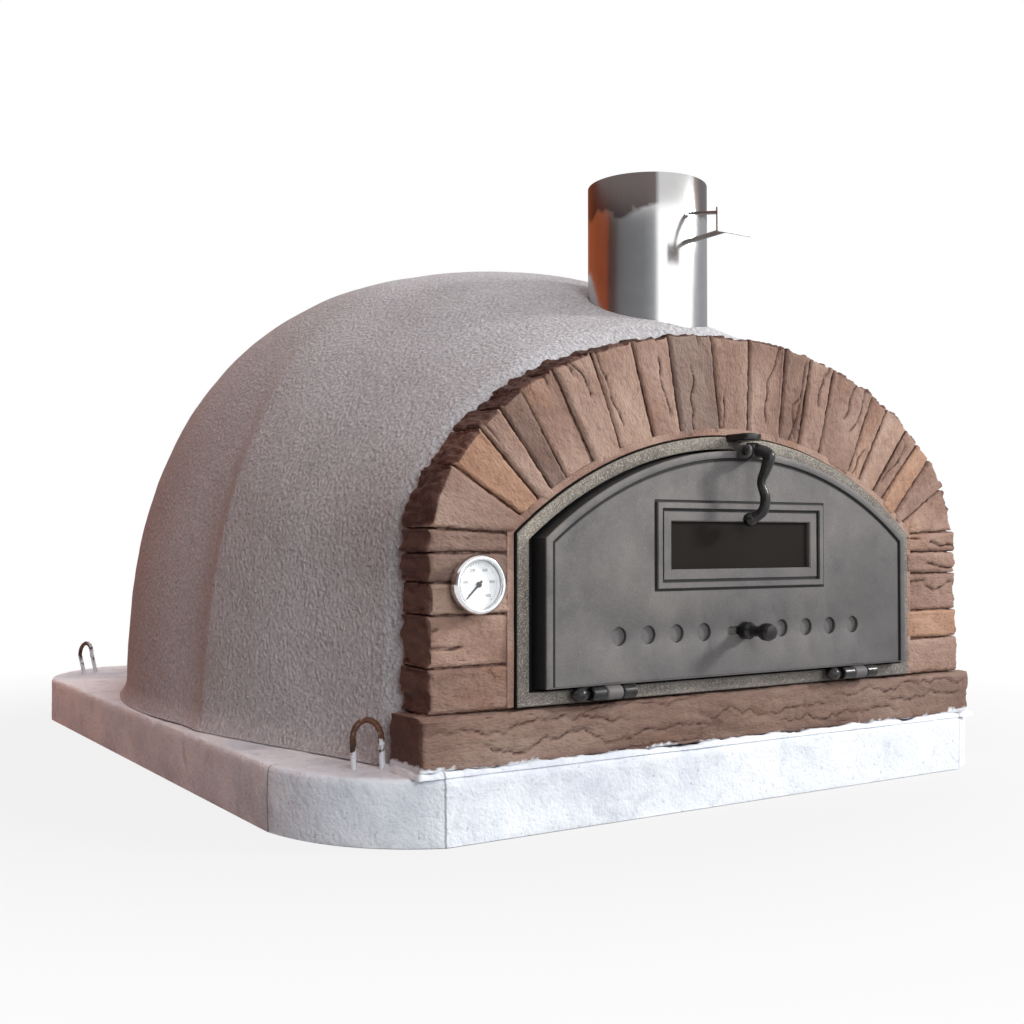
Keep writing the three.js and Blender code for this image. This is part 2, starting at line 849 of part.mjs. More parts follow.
const plasterCavity = join(
  ovoid(
    domeCentreY,
    domeHalfWidth - plasterThickness,
    domeHalfDepth - plasterThickness,
    domeHeight - plasterThickness,
    plasterBase,
    cutOverrun,
  ),
  frontExtrude(neckShape(plasterThickness), neckFrontY - cutOverrun, neckEndY),
);
const frontTrim = block(
  -slabHalfWidth, slabHalfWidth,
  -slabHalfDepth - cutOverrun, neckFrontY,
  0, pipeTop,
);
const sillRelief = block(
  -sillHalfLength - bedGap, sillHalfLength + bedGap,
  sillFrontY, sillFrontY + sillDepth + bedGap,
  0, sillTop + bedGap,
);
addPiece(
  "plaster_dome",
  cut(plasterOutside(), plasterCavity, flueHole, sillRelief),
  plasterWhite,
);

const insulation = cut(
  join(
    ovoid(
      domeCentreY,
      domeHalfWidth - plasterThickness - bedGap,
      domeHalfDepth - plasterThickness - bedGap,
      domeHeight - plasterThickness - bedGap,
      plasterBase,
    ),
    frontExtrude(neckShape(plasterThickness + bedGap), neckFrontY, neckEndY)
      .subtract(block(
        -slabHalfWidth, slabHalfWidth,
        neckFrontY - cutOverrun, neckEndY + cutOverrun,
        slabTop - 2 * cutOverrun, plasterBase,
      )),
  ),
  frontTrim,
  chamber(refractoryThickness + bedGap, cutOverrun),
  vaultPrism(refractoryThickness + bedGap, neckFrontY - cutOverrun, vaultBackY + bedGap, slabTop - cutOverrun),
  flueHole,
  probeHole,
  sillRelief,
);
addPiece("insulation_fill", insulation, insulationFill);

// Hearth: a bed of insulating board under a floor of fire brick, both inside the brick walls
function hearthLayer(low, high) {
  const round = ovoidFootprint(chamberHalfWidth - bedGap, chamberHalfDepth - bedGap);
  const tongue = rectangle(
    -vaultHalfWidth + bedGap, vaultHalfWidth - bedGap,
    neckFrontY, chamberCentreY,
  );
  return join(floorExtrude(round, low, high), floorExtrude(tongue, low, high));
}

function ovoidFootprint(halfWidth, halfDepth) {
  const shape = new THREE.Shape();
  const points = [];
  for (let i = 0; i < ovoidSides; i += 1) {
    const angle = (2 * Math.PI * i) / ovoidSides;
    points.push(new THREE.Vector2(halfWidth * Math.sin(angle), chamberCentreY + halfDepth * Math.cos(angle)));
  }
  shape.setFromPoints(points.reverse());
  return shape;
}
const hearthTop = sillTop;
const hearthBottom = hearthTop - hearthThickness;
const hearthLimit = join(
  chamber(-bedGap, cutOverrun),
  vaultPrism(-bedGap, neckFrontY, chamberCentreY, slabTop - cutOverrun),
);
addPiece("hearth_bed", hearthLayer(plasterBase, hearthBottom - bedGap).intersect(hearthLimit), insulationFill);
addPiece("hearth_floor", hearthLayer(hearthBottom, hearthTop).intersect(hearthLimit), fireBrick);

// Door frame: a flanged ring with an inner lip, the hinge knuckles and the latch keeper
const lipFrontY = leafBackY + lipGap;
const lipBackY = lipFrontY + lipThickness;
const frameBackY = frameFrontY + frameDepth;
const hingeZ = leafArch.bottom - hingeDrop;
const hingeCentre = { x: 0, y: leafFrontY, z: hingeZ };
const hingeOffset = leafArch.halfWidth - hingeInset;
const boreRadius = pinRadius + pinClearance;
const keeperBottom = leafApex + keeperRise;

function frameKnuckleStarts(centreX) {
  const half = leafKnuckleLength / 2 + knuckleGap;
  return [centreX - half - frameKnuckleLength, centreX + half];
}

function frameKnuckle(x0) {
  const x1 = x0 + frameKnuckleLength;
  const lug = block(
    x0, x1,
    leafFrontY, frameFrontY + lugRoot,
    hingeZ - knuckleRadius, hingeZ - knuckleGap,
  );
  return join(bar("x", knuckleRadius, x0, x1, hingeCentre), lug);
}

function keeper() {
  const front = frameFrontY - keeperLength;
  const shape = new THREE.Shape();
  shape.moveTo(-keeperHalfWidth, frameFrontY + keeperRootDepth);
  shape.lineTo(-keeperHalfWidth, front + keeperHalfWidth / 2);
  shape.quadraticCurveTo(-keeperHalfWidth, front, 0, front);
  shape.quadraticCurveTo(keeperHalfWidth, front, keeperHalfWidth, front + keeperHalfWidth / 2);
  shape.lineTo(keeperHalfWidth, frameFrontY + keeperRootDepth);
  shape.closePath();
  return floorExtrude(shape, keeperBottom, keeperBottom + keeperThickness, keeperBevel);
}

const hingeSides = [-1, 1];
const hingeBores = hingeSides.map((side) => bar(
  "x",
  boreRadius,
  side * hingeOffset - leafKnuckleLength - 2 * frameKnuckleLength,
  side * hingeOffset + leafKnuckleLength + 2 * frameKnuckleLength,
  hingeCentre,
  boreSides,
));
const frameKnuckles = hingeSides.flatMap(
  (side) => frameKnuckleStarts(side * hingeOffset).map(frameKnuckle),
);
const frameRing = cut(
  frontExtrude(archShape(frameArch), frameFrontY, frameBackY),
  frontExtrude(archShape(openingArch), frameFrontY - cutOverrun, lipFrontY),
  frontExtrude(archShape(openingArch), lipBackY, frameBackY + cutOverrun),
  frontExtrude(archShape(lipArch), frameFrontY - cutOverrun, frameBackY + cutOverrun),
);
const doorFrame = cut(join(frameRing, ...frameKnuckles, keeper()), ...hingeBores);
addPiece("door_frame", doorFrame, castIron, "front");

// Hinge pins with a pointed finial on the left and a rivet head on the right
function hingePin(centreX) {
  const [left] = frameKnuckleStarts(centreX);
  const right = frameKnuckleStarts(centreX)[1] + frameKnuckleLength;
  const profile = [
    [0, -finialLength - bedGap],
    ...finialProfileShares.map(([across, along]) => [finialRadius * across, -finialLength * along]),
    [finialRadius * finialNeckShare, -bedGap],
    [pinRadius, -bedGap],
    [pinRadius, right - left + bedGap],
    [rivetRadius, right - left + bedGap],
    [rivetRadius * rivetCrownShare, right - left + bedGap + rivetThickness],
    [0, right - left + bedGap + rivetThickness],
  ];
  const geometry = new THREE.LatheGeometry(profile.map(([r, h]) => new THREE.Vector2(r, h)), boreSides);
  geometry.rotateZ(-Math.PI / 2);
  geometry.translate(left, hingeCentre.y, hingeZ);
  return solid(geometry);
}
addPiece("hinge_pin_left", hingePin(-hingeOffset), blackIron, "front");
addPiece("hinge_pin_right", hingePin(hingeOffset), blackIron, "front");

// Door leaf: a cast tray with a bead, hinge tabs, latch ears, a window and a row of air holes
const windowCentreZ = leafArch.bottom + windowLift + windowHeight / 2;
const airCentreZ = leafArch.bottom + airLift;
const sliderFrontY = leafPocketY + bedGap;
const sliderBackY = sliderFrontY + sliderThickness;
const latchCentre = { x: 0, y: leafFrontY - latchForward, z: leafApex - latchDrop };
const earInner = leverHubWidth / 2 + earClearance;

function beadRing() {
  const outer = frontExtrude(
    archShape(insetArch(leafArch, beadInset)),
    leafFrontY - beadPride,
    leafFrontY + mouldingRoot,
  );
  const inner = frontExtrude(
    archShape(insetArch(leafArch, beadInset + beadWidth)),
    leafFrontY - cutOverrun,
    leafFrontY + cutOverrun,
  );
  const gap = block(
    -beadBreak, beadBreak,
    leafFrontY - cutOverrun, leafFrontY + cutOverrun,
    leafApex - 3 * beadInset, leafApex,
  );
  return cut(outer, inner, gap);
}

function windowRing(inset, pride) {
  const halfWidth = windowWidth / 2 + mouldingMargin - inset;
  const halfHeight = windowHeight / 2 + mouldingMargin - inset;
  const ring = frontExtrude(
    rectangle(-halfWidth, halfWidth, windowCentreZ - halfHeight, windowCentreZ + halfHeight),
    leafFrontY - pride,
    leafFrontY + mouldingRoot,
  );
  return ring.subtract(block(
    -halfWidth + mouldingWidth, halfWidth - mouldingWidth,
    leafFrontY - cutOverrun, leafFrontY + cutOverrun,
    windowCentreZ - halfHeight + mouldingWidth, windowCentreZ + halfHeight - mouldingWidth,
  ));
}

// One ear of the clevis that carries the latch lever, rounded about the lever's pin
function latchEar(side) {
  const x0 = Math.min(side * earInner, side * (earInner + earThickness));
  const x1 = x0 + earThickness;
  const plate = block(
    x0, x1,
    latchCentre.y, leafFrontY + leafWall / 2,
    latchCentre.z - earRadius, latchCentre.z + earRadius - latchDrop,
  );
  return join(plate, bar("x", earRadius, x0, x1, latchCentre, 20))
    .subtract(block(
      x0 - cutOverrun, x1 + cutOverrun,
      latchCentre.y - 2 * earRadius, leafFrontY + leafDepth,
      latchCentre.z + earRadius - latchDrop, latchCentre.z + 2 * earRadius,
    ));
}

// The leaf's hinge: a tab under the leaf, a web and the middle knuckle
function leafHinge(side) {
  const centreX = side * hingeOffset;
  const half = leafKnuckleLength / 2;
  const tabFrontY = leafFrontY + knuckleRadius + tabClearance;
  return join(
    bar("x", knuckleRadius, centreX - half, centreX + half, hingeCentre),
    block(
      centreX - half, centreX + half,
      leafFrontY, tabFrontY + tabThickness,
      hingeZ, leafArch.bottom + leafWall / 2,
    ),
    block(
      centreX - tabHalfWidth, centreX + tabHalfWidth,
      tabFrontY, tabFrontY + tabThickness,
      hingeZ + tabClearance, leafArch.bottom + leafWall / 2,
    ),
  );
}

function airHolePlaces() {
  const places = [];
  for (let i = 0; i < airHoleCount; i += 1) {
    places.push(airFirstHole + i * airHolePitch, -airFirstHole - i * airHolePitch);
  }
  return places;
}
const airHoles = airHolePlaces();
const airReach = Math.max(...airHoles) + airHoleRadius + sliderMargin;

function sliderRail(direction) {
  const edge = airCentreZ + direction * (sliderHalfHeight + railClearance);
  const wall = airCentreZ + direction * (sliderHalfHeight + railClearance + railWidth);
  const lip = airCentreZ + direction * (sliderHalfHeight - railLip);
  const length = airReach + airTravel / 2;
  const lipY = sliderBackY + railClearance;
  return join(
    block(
      -length, length,
      leafFrontY + leafWall / 2, lipY + railThickness,
      Math.min(edge, wall), Math.max(edge, wall),
    ),
    block(-length, length, lipY, lipY + railThickness, Math.min(lip, wall), Math.max(lip, wall)),
  );
}

function doorLeaf() {
  const tray = cut(
    frontExtrude(archShape(leafArch), leafFrontY, leafBackY),
    frontExtrude(archShape(insetArch(leafArch, leafWall)), leafPocketY, leafBackY + cutOverrun),
  );
  const pane = block(
    -windowWidth / 2, windowWidth / 2,
    leafFrontY - cutOverrun, leafPocketY + cutOverrun,
    windowCentreZ - windowHeight / 2, windowCentreZ + windowHeight / 2,
  );
  const holes = airHoles.map((x) => bar(
    "y", airHoleRadius, leafFrontY - cutOverrun, leafPocketY + bedGap, { x, z: airCentreZ }, boreSides,
  ));
  const slotRadius = knobStemRadius + railClearance;
  const slot = join(
    ...[0, -airTravel].map((x) => bar(
      "y", slotRadius, leafFrontY - cutOverrun, leafPocketY + bedGap, { x, z: airCentreZ }, boreSides,
    )),
    block(
      -airTravel, 0,
      leafFrontY - cutOverrun, leafPocketY + bedGap,
      airCentreZ - slotRadius, airCentreZ + slotRadius,
    ),
  );
  const body = join(
    tray,
    beadRing(),
    windowRing(0, mouldingPride),
    windowRing(mouldingStep, mouldingPride * mouldingStepShare),
    ...hingeSides.map(leafHinge),
    ...hingeSides.map(latchEar),
    ...hingeSides.map(sliderRail),
  );
  const pinReach = earInner + earThickness + cutOverrun;
  const pinHole = bar("x", boreRadius, -pinReach, pinReach, latchCentre, boreSides);
  return cut(body, pane, ...holes, slot, pinHole, ...hingeBores);
}
addPiece("door_leaf", doorLeaf(), castIron, "door");

// Window: a pane behind the opening, held by a rebated retainer
function windowPane() {
  const halfWidth = windowWidth / 2 + glassLap;
  const halfHeight = windowHeight / 2 + glassLap;
  return block(
    -halfWidth, halfWidth,
    leafPocketY + bedGap, leafPocketY + bedGap + glassThickness,
    windowCentreZ - halfHeight, windowCentreZ + halfHeight,
  );
}

function windowRetainer() {
  const halfWidth = windowWidth / 2 + glassLap + bedGap;
  const halfHeight = windowHeight / 2 + glassLap + bedGap;
  const front = leafPocketY + bedGap;
  const rim = retainerRim;
  const rebate = block(
    -halfWidth, halfWidth,
    front - cutOverrun, front + glassThickness + bedGap,
    windowCentreZ - halfHeight, windowCentreZ + halfHeight,
  );
  const sight = block(
    -windowWidth / 2, windowWidth / 2,
    front - cutOverrun, front + retainerThickness + cutOverrun,
    windowCentreZ - windowHeight / 2, windowCentreZ + windowHeight / 2,
  );
  return cut(
    block(
      -halfWidth - rim, halfWidth + rim,
      front, front + retainerThickness,
      windowCentreZ - halfHeight - rim, windowCentreZ + halfHeight + rim,
    ),
    rebate,
    sight,
  );
}
addPiece("window_glass", windowPane(), darkGlass, "door");
addPiece("window_retainer", windowRetainer(), castIron, "door");

// Air slider behind the leaf, drawn shut: its holes lie one travel to the right of the leaf's
function airSlider() {
  const plate = block(
    -airReach + airTravel / 2, airReach + airTravel / 2,
    sliderFrontY, sliderBackY,
    airCentreZ - sliderHalfHeight, airCentreZ + sliderHalfHeight,
  );
  const holes = airHoles.map((x) => bar(
    "y",
    airHoleRadius,
    sliderFrontY - cutOverrun,
    sliderBackY + cutOverrun,
    { x: x + airTravel, z: airCentreZ },
    boreSides,
  ));
  const knobHole = bar(
    "y",
    knobTailRadius + bedGap,
    sliderFrontY - cutOverrun,
    sliderBackY + cutOverrun,
    { x: 0, z: airCentreZ },
    boreSides,
  );
  return cut(plate, ...holes, knobHole);
}

function airKnob() {
  const root = sliderFrontY - bedGap;
  const proud = knobLength - leafWall;
  return turnedForward([
    [0, -knobTailLength - bedGap],
    [knobTailRadius, -knobTailLength - bedGap],
    [knobTailRadius, 0],
    [knobStemRadius, 0],
    [knobStemRadius, leafWall + knobStandoff],
    [knobRadius, leafWall + knobStandoff],
    ...knobProfileShares.map(([across, along]) => [knobRadius * across, leafWall + proud * along]),
    [0, leafWall + proud],
  ], { x: 0, y: root, z: airCentreZ });
}
addPiece("air_slider", airSlider(), castIron, "slider");
addPiece("air_knob", airKnob(), blackIron, "slider");

// Latch lever: a hub with a nose under the keeper, and a rod that swells into a ball
function latchLever() {
  const points = leverPathShares.map(([forward, down]) => new THREE.Vector3(
    0,
    latchCentre.y - leverReach * forward,
    latchCentre.z - leverDrop * down,
  ));
  const path = new THREE.CatmullRomCurve3(points);
  const section = new THREE.Shape();
  section.absarc(0, 0, leverRodRadius, 0, 2 * Math.PI, false);
  const rod = solid(new THREE.ExtrudeGeometry(section, {
    steps: leverSteps,
    extrudePath: path,
    bevelEnabled: false,
    curveSegments: hookSides,
  }));
  const ball = new THREE.SphereGeometry(leverBallRadius, ballSides, ballSides / 2);
  ball.translate(0, points[points.length - 1].y, points[points.length - 1].z);
  const half = leverHubWidth / 2;
  const noseTop = keeperBottom - noseGap;
  const nose = new THREE.Shape();
  nose.moveTo(latchCentre.y - noseHalfLength, latchCentre.z);
  nose.lineTo(latchCentre.y + noseHalfLength, latchCentre.z);
  nose.lineTo(latchCentre.y + noseHalfLength, noseTop - noseHalfLength / 2);
  nose.quadraticCurveTo(latchCentre.y + noseHalfLength, noseTop, latchCentre.y, noseTop);
  nose.quadraticCurveTo(
    latchCentre.y - noseHalfLength, noseTop, latchCentre.y - noseHalfLength, noseTop - noseHalfLength / 2,
  );
  nose.closePath();
  const noseGeometry = new THREE.ExtrudeGeometry(nose, {
    depth: leverHubWidth, bevelEnabled: false, curveSegments: hookSides,
  });
  noseGeometry.rotateY(Math.PI / 2);
  noseGeometry.rotateX(Math.PI / 2);
  noseGeometry.translate(-half, 0, 0);
  const pinHole = bar("x", boreRadius, -leverHubWidth, leverHubWidth, latchCentre, boreSides);
  return cut(
    join(bar("x", leverHubRadius, -half, half, latchCentre), solid(noseGeometry), rod, solid(ball)),
    pinHole,
  );
}
addPiece("latch_lever", latchLever(), blackIron, "latch");

// The pin through the ears and the lever's hub, headed at both ends
function latchPin() {
  const reach = earInner + earThickness + bedGap;
  const profile = [
    [0, -reach - rivetThickness],
    [rivetRadius, -reach - rivetThickness],
    [rivetRadius, -reach],
    [pinRadius, -reach],
    [pinRadius, reach],
    [rivetRadius, reach],
    [rivetRadius, reach + rivetThickness],
    [0, reach + rivetThickness],
  ];
  const geometry = new THREE.LatheGeometry(profile.map(([r, h]) => new THREE.Vector2(r, h)), boreSides);
  geometry.rotateZ(-Math.PI / 2);
  geometry.translate(0, latchCentre.y, latchCentre.z);
  return solid(geometry);
}
addPiece("latch_pin", latchPin(), blackIron, "door");

// Dial thermometer: a cup with the probe on its back, a dial, a pointer on a post, a lens and a bezel
const caseFrontY = thermometerCentre.y - caseDepth;
const dialBackY = caseFrontY + bezelDepth + bedGap;
const dialFrontY = dialBackY - dialThickness;
const lensBackY = caseFrontY + lensThickness;

function thermometerTurned(points, frontY) {
  return turnedForward(points, { ...thermometerCentre, y: frontY }, dialSides);
}

function thermometerCase() {
  const inner = caseRadius - caseWall;
  const back = -caseDepth;
  const cup = thermometerTurned([
    [0, back - probeLength],
    [probeRadius, back - probeLength],
    [probeRadius, back],
    [caseRadius * caseBackShare, back],
    [caseRadius, back + caseWall],
    [caseRadius, 0],
    [inner, 0],
    [inner, caseFrontY - dialBackY - bedGap],
    [0, caseFrontY - dialBackY - bedGap],
  ], caseFrontY);
  return cup;
}

function disc(radius, front, back) {
  return bar("y", radius, front, back, thermometerCentre, dialSides);
}

function thermometerBezel() {
  const inside = bezelRadius - bezelLip;
  const skirt = caseRadius + bedGap;
  return cut(
    join(
      disc(bezelRadius, caseFrontY - bedGap - caseWall, caseFrontY + bezelDepth),
      disc(bezelRadius - bezelStep, caseFrontY - bedGap - caseWall - bezelStep, caseFrontY),
    ),
    disc(inside, caseFrontY - cutOverrun, caseFrontY + cutOverrun),
    disc(skirt, caseFrontY - bedGap, caseFrontY + cutOverrun),
  );
}

function thermometerPointer() {
  const shape = new THREE.Shape();
  const half = pointerWidth / 2;
  shape.moveTo(-half, -pointerLength * pointerTailShare);
  shape.lineTo(half, -pointerLength * pointerTailShare);
  shape.lineTo(half * pointerTipShare, pointerLength);
  shape.lineTo(-half * pointerTipShare, pointerLength);
  shape.closePath();
  const back = dialFrontY - bedGap;
  const blade = frontExtrude(shape, back - pointerThickness, back);
  const hub = bar("y", pointerHubRadius, back - pointerHubThickness, back, { x: 0, z: 0 }, boreSides);
  const body = join(blade, hub);
  return body.rotate([0, pointerRestDegrees, 0]).translate([thermometerCentre.x, 0, thermometerCentre.z]);
}
const paneRadius = caseRadius - caseWall - bedGap;
addPiece("thermometer_case", thermometerCase(), stainless, "thermometer");
addPiece("thermometer_dial", disc(paneRadius, dialFrontY, dialBackY), dialWhite, "thermometer");
addPiece("thermometer_pointer", thermometerPointer(), pointerBlack, "thermometer");
addPiece("thermometer_lens", disc(paneRadius, caseFrontY, lensBackY), clearGlass, "thermometer");
addPiece("thermometer_bezel", thermometerBezel(), chrome, "thermometer");

// Flue pipe, seated in the vault's roof, with the damper's spindle holes through its wall
const pipeBottom = vaultArch.centreZ + vaultArch.radius + refractoryThickness * pipeSeatShare;
const damperZ = pipeTop - damperDrop;
const damperCentre = { x: 0, y: pipeCentreY, z: damperZ };
const spindleHole = bar(
  "y", spindleRadius + bedGap, pipeCentreY - pipeRadius - cutOverrun, pipeCentreY + pipeRadius + cutOverrun,
  damperCentre, boreSides,
);
const fluePipe = cut(
  bar("z", pipeRadius, pipeBottom, pipeTop, pipeCentre, pipeSides),
  bar("z", pipeRadius - pipeWall, pipeBottom - cutOverrun, pipeTop + cutOverrun, pipeCentre, pipeSides),
  spindleHole,
);
addPiece("flue_pipe", fluePipe, stainless, "flue");

// Butterfly damper: a disc with a boss on a spindle that ends in a bent strap handle
const discRadius = pipeRadius - pipeWall - damperClearance;
const bossRadius = spindleRadius + damperThickness;

function damperDisc() {
  const plate = bar("x", discRadius, -damperThickness / 2, damperThickness / 2, damperCentre, discSides);
  const boss = bar(
    "y",
    bossRadius,
    pipeCentreY - discRadius * bossShare,
    pipeCentreY + discRadius * bossShare,
    damperCentre,
    boreSides,
  );
  const bore = bar(
    "y", spindleRadius + bedGap, pipeCentreY - pipeRadius, pipeCentreY + pipeRadius, damperCentre, boreSides,
  );
  return cut(join(plate, boss), bore);
}

function damperHandle() {
  const strapY = pipeCentreY - pipeRadius - spindleReach;
  const spindle = bar(
    "y", spindleRadius, strapY, pipeCentreY + pipeRadius + spindleRadius, damperCentre, boreSides,
  );
  const strap = block(
    -strapWidth / 2, strapWidth / 2,
    strapY - strapThickness, strapY,
    damperZ - strapHeight * strapDropShare, damperZ + strapHeight * (1 - strapDropShare),
  );
  const armTopY = pipeCentreY - pipeRadius - strapArmGap;
  const low = damperZ + strapHeight * strapArmShare;
  const shape = new THREE.Shape();
  shape.moveTo(strapY - strapThickness / 2, low);
  shape.lineTo(armTopY, damperZ + strapArmRise - strapThickness);
  shape.lineTo(armTopY, damperZ + strapArmRise);
  shape.lineTo(strapY - strapThickness / 2, low + strapArmRoot);
  shape.closePath();
  const arm = new THREE.ExtrudeGeometry(shape, { depth: strapArmWidth, bevelEnabled: false });
  arm.rotateY(Math.PI / 2);
  arm.rotateX(Math.PI / 2);
  return join(spindle, strap, solid(arm));
}
addPiece("damper_disc", damperDisc(), stainless, "damper");
addPiece("damper_handle", damperHandle(), stainless, "damper");

export default oven;
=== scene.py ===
import math

import bmesh
import bpy
import numpy as np
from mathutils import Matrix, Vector, noise


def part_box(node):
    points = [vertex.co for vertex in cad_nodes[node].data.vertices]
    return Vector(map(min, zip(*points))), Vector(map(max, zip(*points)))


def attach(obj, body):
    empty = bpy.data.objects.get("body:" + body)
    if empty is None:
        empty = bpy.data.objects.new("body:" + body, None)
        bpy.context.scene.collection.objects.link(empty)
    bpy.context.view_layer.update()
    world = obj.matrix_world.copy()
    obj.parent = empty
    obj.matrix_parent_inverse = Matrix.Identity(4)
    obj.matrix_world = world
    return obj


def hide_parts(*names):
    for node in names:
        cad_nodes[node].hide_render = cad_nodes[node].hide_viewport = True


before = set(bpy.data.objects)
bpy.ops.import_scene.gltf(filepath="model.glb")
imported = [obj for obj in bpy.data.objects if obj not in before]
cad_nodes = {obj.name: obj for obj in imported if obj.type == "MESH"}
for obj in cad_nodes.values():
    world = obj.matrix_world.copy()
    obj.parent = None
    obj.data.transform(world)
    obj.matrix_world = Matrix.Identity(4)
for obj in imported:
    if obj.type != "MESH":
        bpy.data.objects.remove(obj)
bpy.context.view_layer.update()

# Camera, floor and light
# The oven stands on a white floor in a room with a pale ceiling, darker and warmer to the left. The key
# lamp is far to the right of the door, a wide one in front lifts the shadows and a warm one stands
# behind the left flank. A tall round screen, which only glossy surfaces mirror, gives the flue bands.
camera_place = Vector((-0.9963, -1.6887, 0.3014))
camera_aim = Vector((0.5438, 0.8390, 0.0226))
camera_data = bpy.data.cameras.new("camera")
camera_data.sensor_fit = "HORIZONTAL"
camera_data.sensor_width = 36
camera_data.lens = 43.63
camera_data.clip_start = 0.05
camera = bpy.data.objects.new("camera", camera_data)
camera.location = camera_place
camera.rotation_euler = camera_aim.to_track_quat("-Z", "Y").to_euler()
bpy.context.scene.collection.objects.link(camera)
bpy.context.scene.camera = camera
bpy.context.scene.view_settings.view_transform = "Standard"


def tone(red, green, blue, alpha=1.0):
    """A display colour, 0 to 255, as linear values."""
    shares = (red / 255, green / 255, blue / 255)
    linear = [c / 12.92 if c <= 0.04045 else ((c + 0.055) / 1.055) ** 2.4 for c in shares]
    return (*linear, alpha)


def feed(tree, made, values):
    """Sets a node's inputs to numbers or colours, or links them to other nodes' sockets."""
    for key, value in values.items():
        if isinstance(value, bpy.types.NodeSocket):
            tree.links.new(value, made.inputs[key])
        else:
            made.inputs[key].default_value = value


def add(tree, kind, values=None, **settings):
    """A node with its settings and its inputs."""
    made = tree.nodes.new(kind)
    for key, value in settings.items():
        setattr(made, key, value)
    feed(tree, made, values or {})
    return made


def maths(tree, operation, first, second=0.0, third=0.0, clamp=False):
    """The result of a maths node."""
    made = add(tree, "ShaderNodeMath", {0: first, 1: second, 2: third}, operation=operation, use_clamp=clamp)
    return made.outputs[0]


def mixed(tree, factor, first, second, blend="MIX"):
    """Two colours or sockets mixed by a factor."""
    made = add(tree, "ShaderNodeMix", data_type="RGBA", blend_type=blend)
    feed(tree, made, {0: factor, 6: first, 7: second})
    return made.outputs[2]


def bare_tree(owner):
    """The emptied node tree of a material or a world."""
    owner.use_nodes = True
    owner.node_tree.nodes.clear()
    return owner.node_tree


def seen_straight(tree):
    """1 for what the camera, a mirror or a pane sees, and 0 for what lights the object."""
    path = add(tree, "ShaderNodeLightPath").outputs
    mirror = maths(tree, "MAXIMUM", path["Is Camera Ray"], path["Is Glossy Ray"])
    return maths(tree, "MAXIMUM", mirror, path["Is Transmission Ray"])


wall_level, ceiling_gain = 0.07, 2.5
dark_side_x, light_side_x, dark_side_share = -0.55, 0.35, 0.06
world = bpy.data.worlds.new("pale_room")
bpy.context.scene.world = world
tree = bare_tree(world)
way = add(tree, "ShaderNodeSeparateXYZ", {"Vector": add(tree, "ShaderNodeTexCoord").outputs["Generated"]})
above = maths(tree, "MAXIMUM", way.outputs["Z"], 0.0)
lifted = maths(tree, "MULTIPLY_ADD", maths(tree, "MULTIPLY", above, above), ceiling_gain, wall_level)
side = add(tree, "ShaderNodeMapRange", {
    "Value": way.outputs["X"], "From Min": dark_side_x, "From Max": light_side_x,
}).outputs["Result"]
level = maths(
    tree, "MULTIPLY", lifted, maths(tree, "MULTIPLY_ADD", side, 1 - dark_side_share, dark_side_share)
)
wall_tint = mixed(tree, side, (1.0, 0.52, 0.38, 1), (0.95, 0.98, 1.0, 1))
room = add(tree, "ShaderNodeBackground", {"Color": wall_tint, "Strength": level})
backdrop = add(tree, "ShaderNodeBackground", {"Color": (1, 1, 1, 1), "Strength": 1.0})
room_mix = add(
    tree, "ShaderNodeMixShader", {0: seen_straight(tree), 1: room.outputs[0], 2: backdrop.outputs[0]}
)
add(tree, "ShaderNodeOutputWorld", {"Surface": room_mix.outputs[0]})

floor_mesh = bpy.data.meshes.new("floor")
floor_half = 9.0
floor_corners = [(x * floor_half, y * floor_half, 0) for x, y in ((-1, -1), (1, -1), (1, 1), (-1, 1))]
floor_mesh.from_pydata(floor_corners, [], [(0, 1, 2, 3)])
floor = bpy.data.objects.new("floor", floor_mesh)
bpy.context.scene.collection.objects.link(floor)
floor_paint = bpy.data.materials.new("floor_paint")
tree = bare_tree(floor_paint)
floor_place = add(tree, "ShaderNodeTexCoord").outputs["Object"]
floor_axes = add(tree, "ShaderNodeSeparateXYZ", {"Vector": floor_place})
# Painted shade: the floor's matt part grows darker towards the left, and so sends less light back on to the
# oven's left side
floor_painted_shade = add(tree, "ShaderNodeMapRange", {
    "Value": floor_axes.outputs["X"], "From Min": -1.3, "From Max": 0.3, "To Min": 0.10, "To Max": 0.36,
})
floor_matt = add(tree, "ShaderNodeBsdfDiffuse", {"Color": floor_painted_shade.outputs["Result"]})
floor_glow = add(tree, "ShaderNodeEmission", {"Color": (1, 1, 1, 1), "Strength": 1.0})
floor_reach = add(tree, "ShaderNodeVectorMath", {0: floor_place}, operation="LENGTH")
glow_share = add(tree, "ShaderNodeMapRange", {
    "Value": floor_reach.outputs["Value"], "From Min": 0.75, "From Max": 1.35, "To Min": 0.86, "To Max": 1.0,
})
floor_share = maths(tree, "MULTIPLY", seen_straight(tree), glow_share.outputs["Result"])
floor_mix = add(
    tree, "ShaderNodeMixShader", {0: floor_share, 1: floor_matt.outputs[0], 2: floor_glow.outputs[0]}
)
add(tree, "ShaderNodeOutputMaterial", {"Surface": floor_mix.outputs[0]})
floor_mesh.materials.append(floor_paint)


def area_lamp(name, place, aim, size, watts, colour, mirrored=True):
    """An area lamp that faces a point; mirrored says whether glossy surfaces show it."""
    lamp_data = bpy.data.lights.new(name, "AREA")
    lamp_data.shape = "DISK"
    lamp_data.size = size
    lamp_data.energy = watts
    lamp_data.color = colour
    lamp = bpy.data.objects.new(name, lamp_data)
    lamp.location = place
    lamp.visible_glossy = mirrored
    lamp.rotation_euler = (Vector(aim) - Vector(place)).to_track_quat("-Z", "Y").to_euler()
    bpy.context.scene.collection.objects.link(lamp)


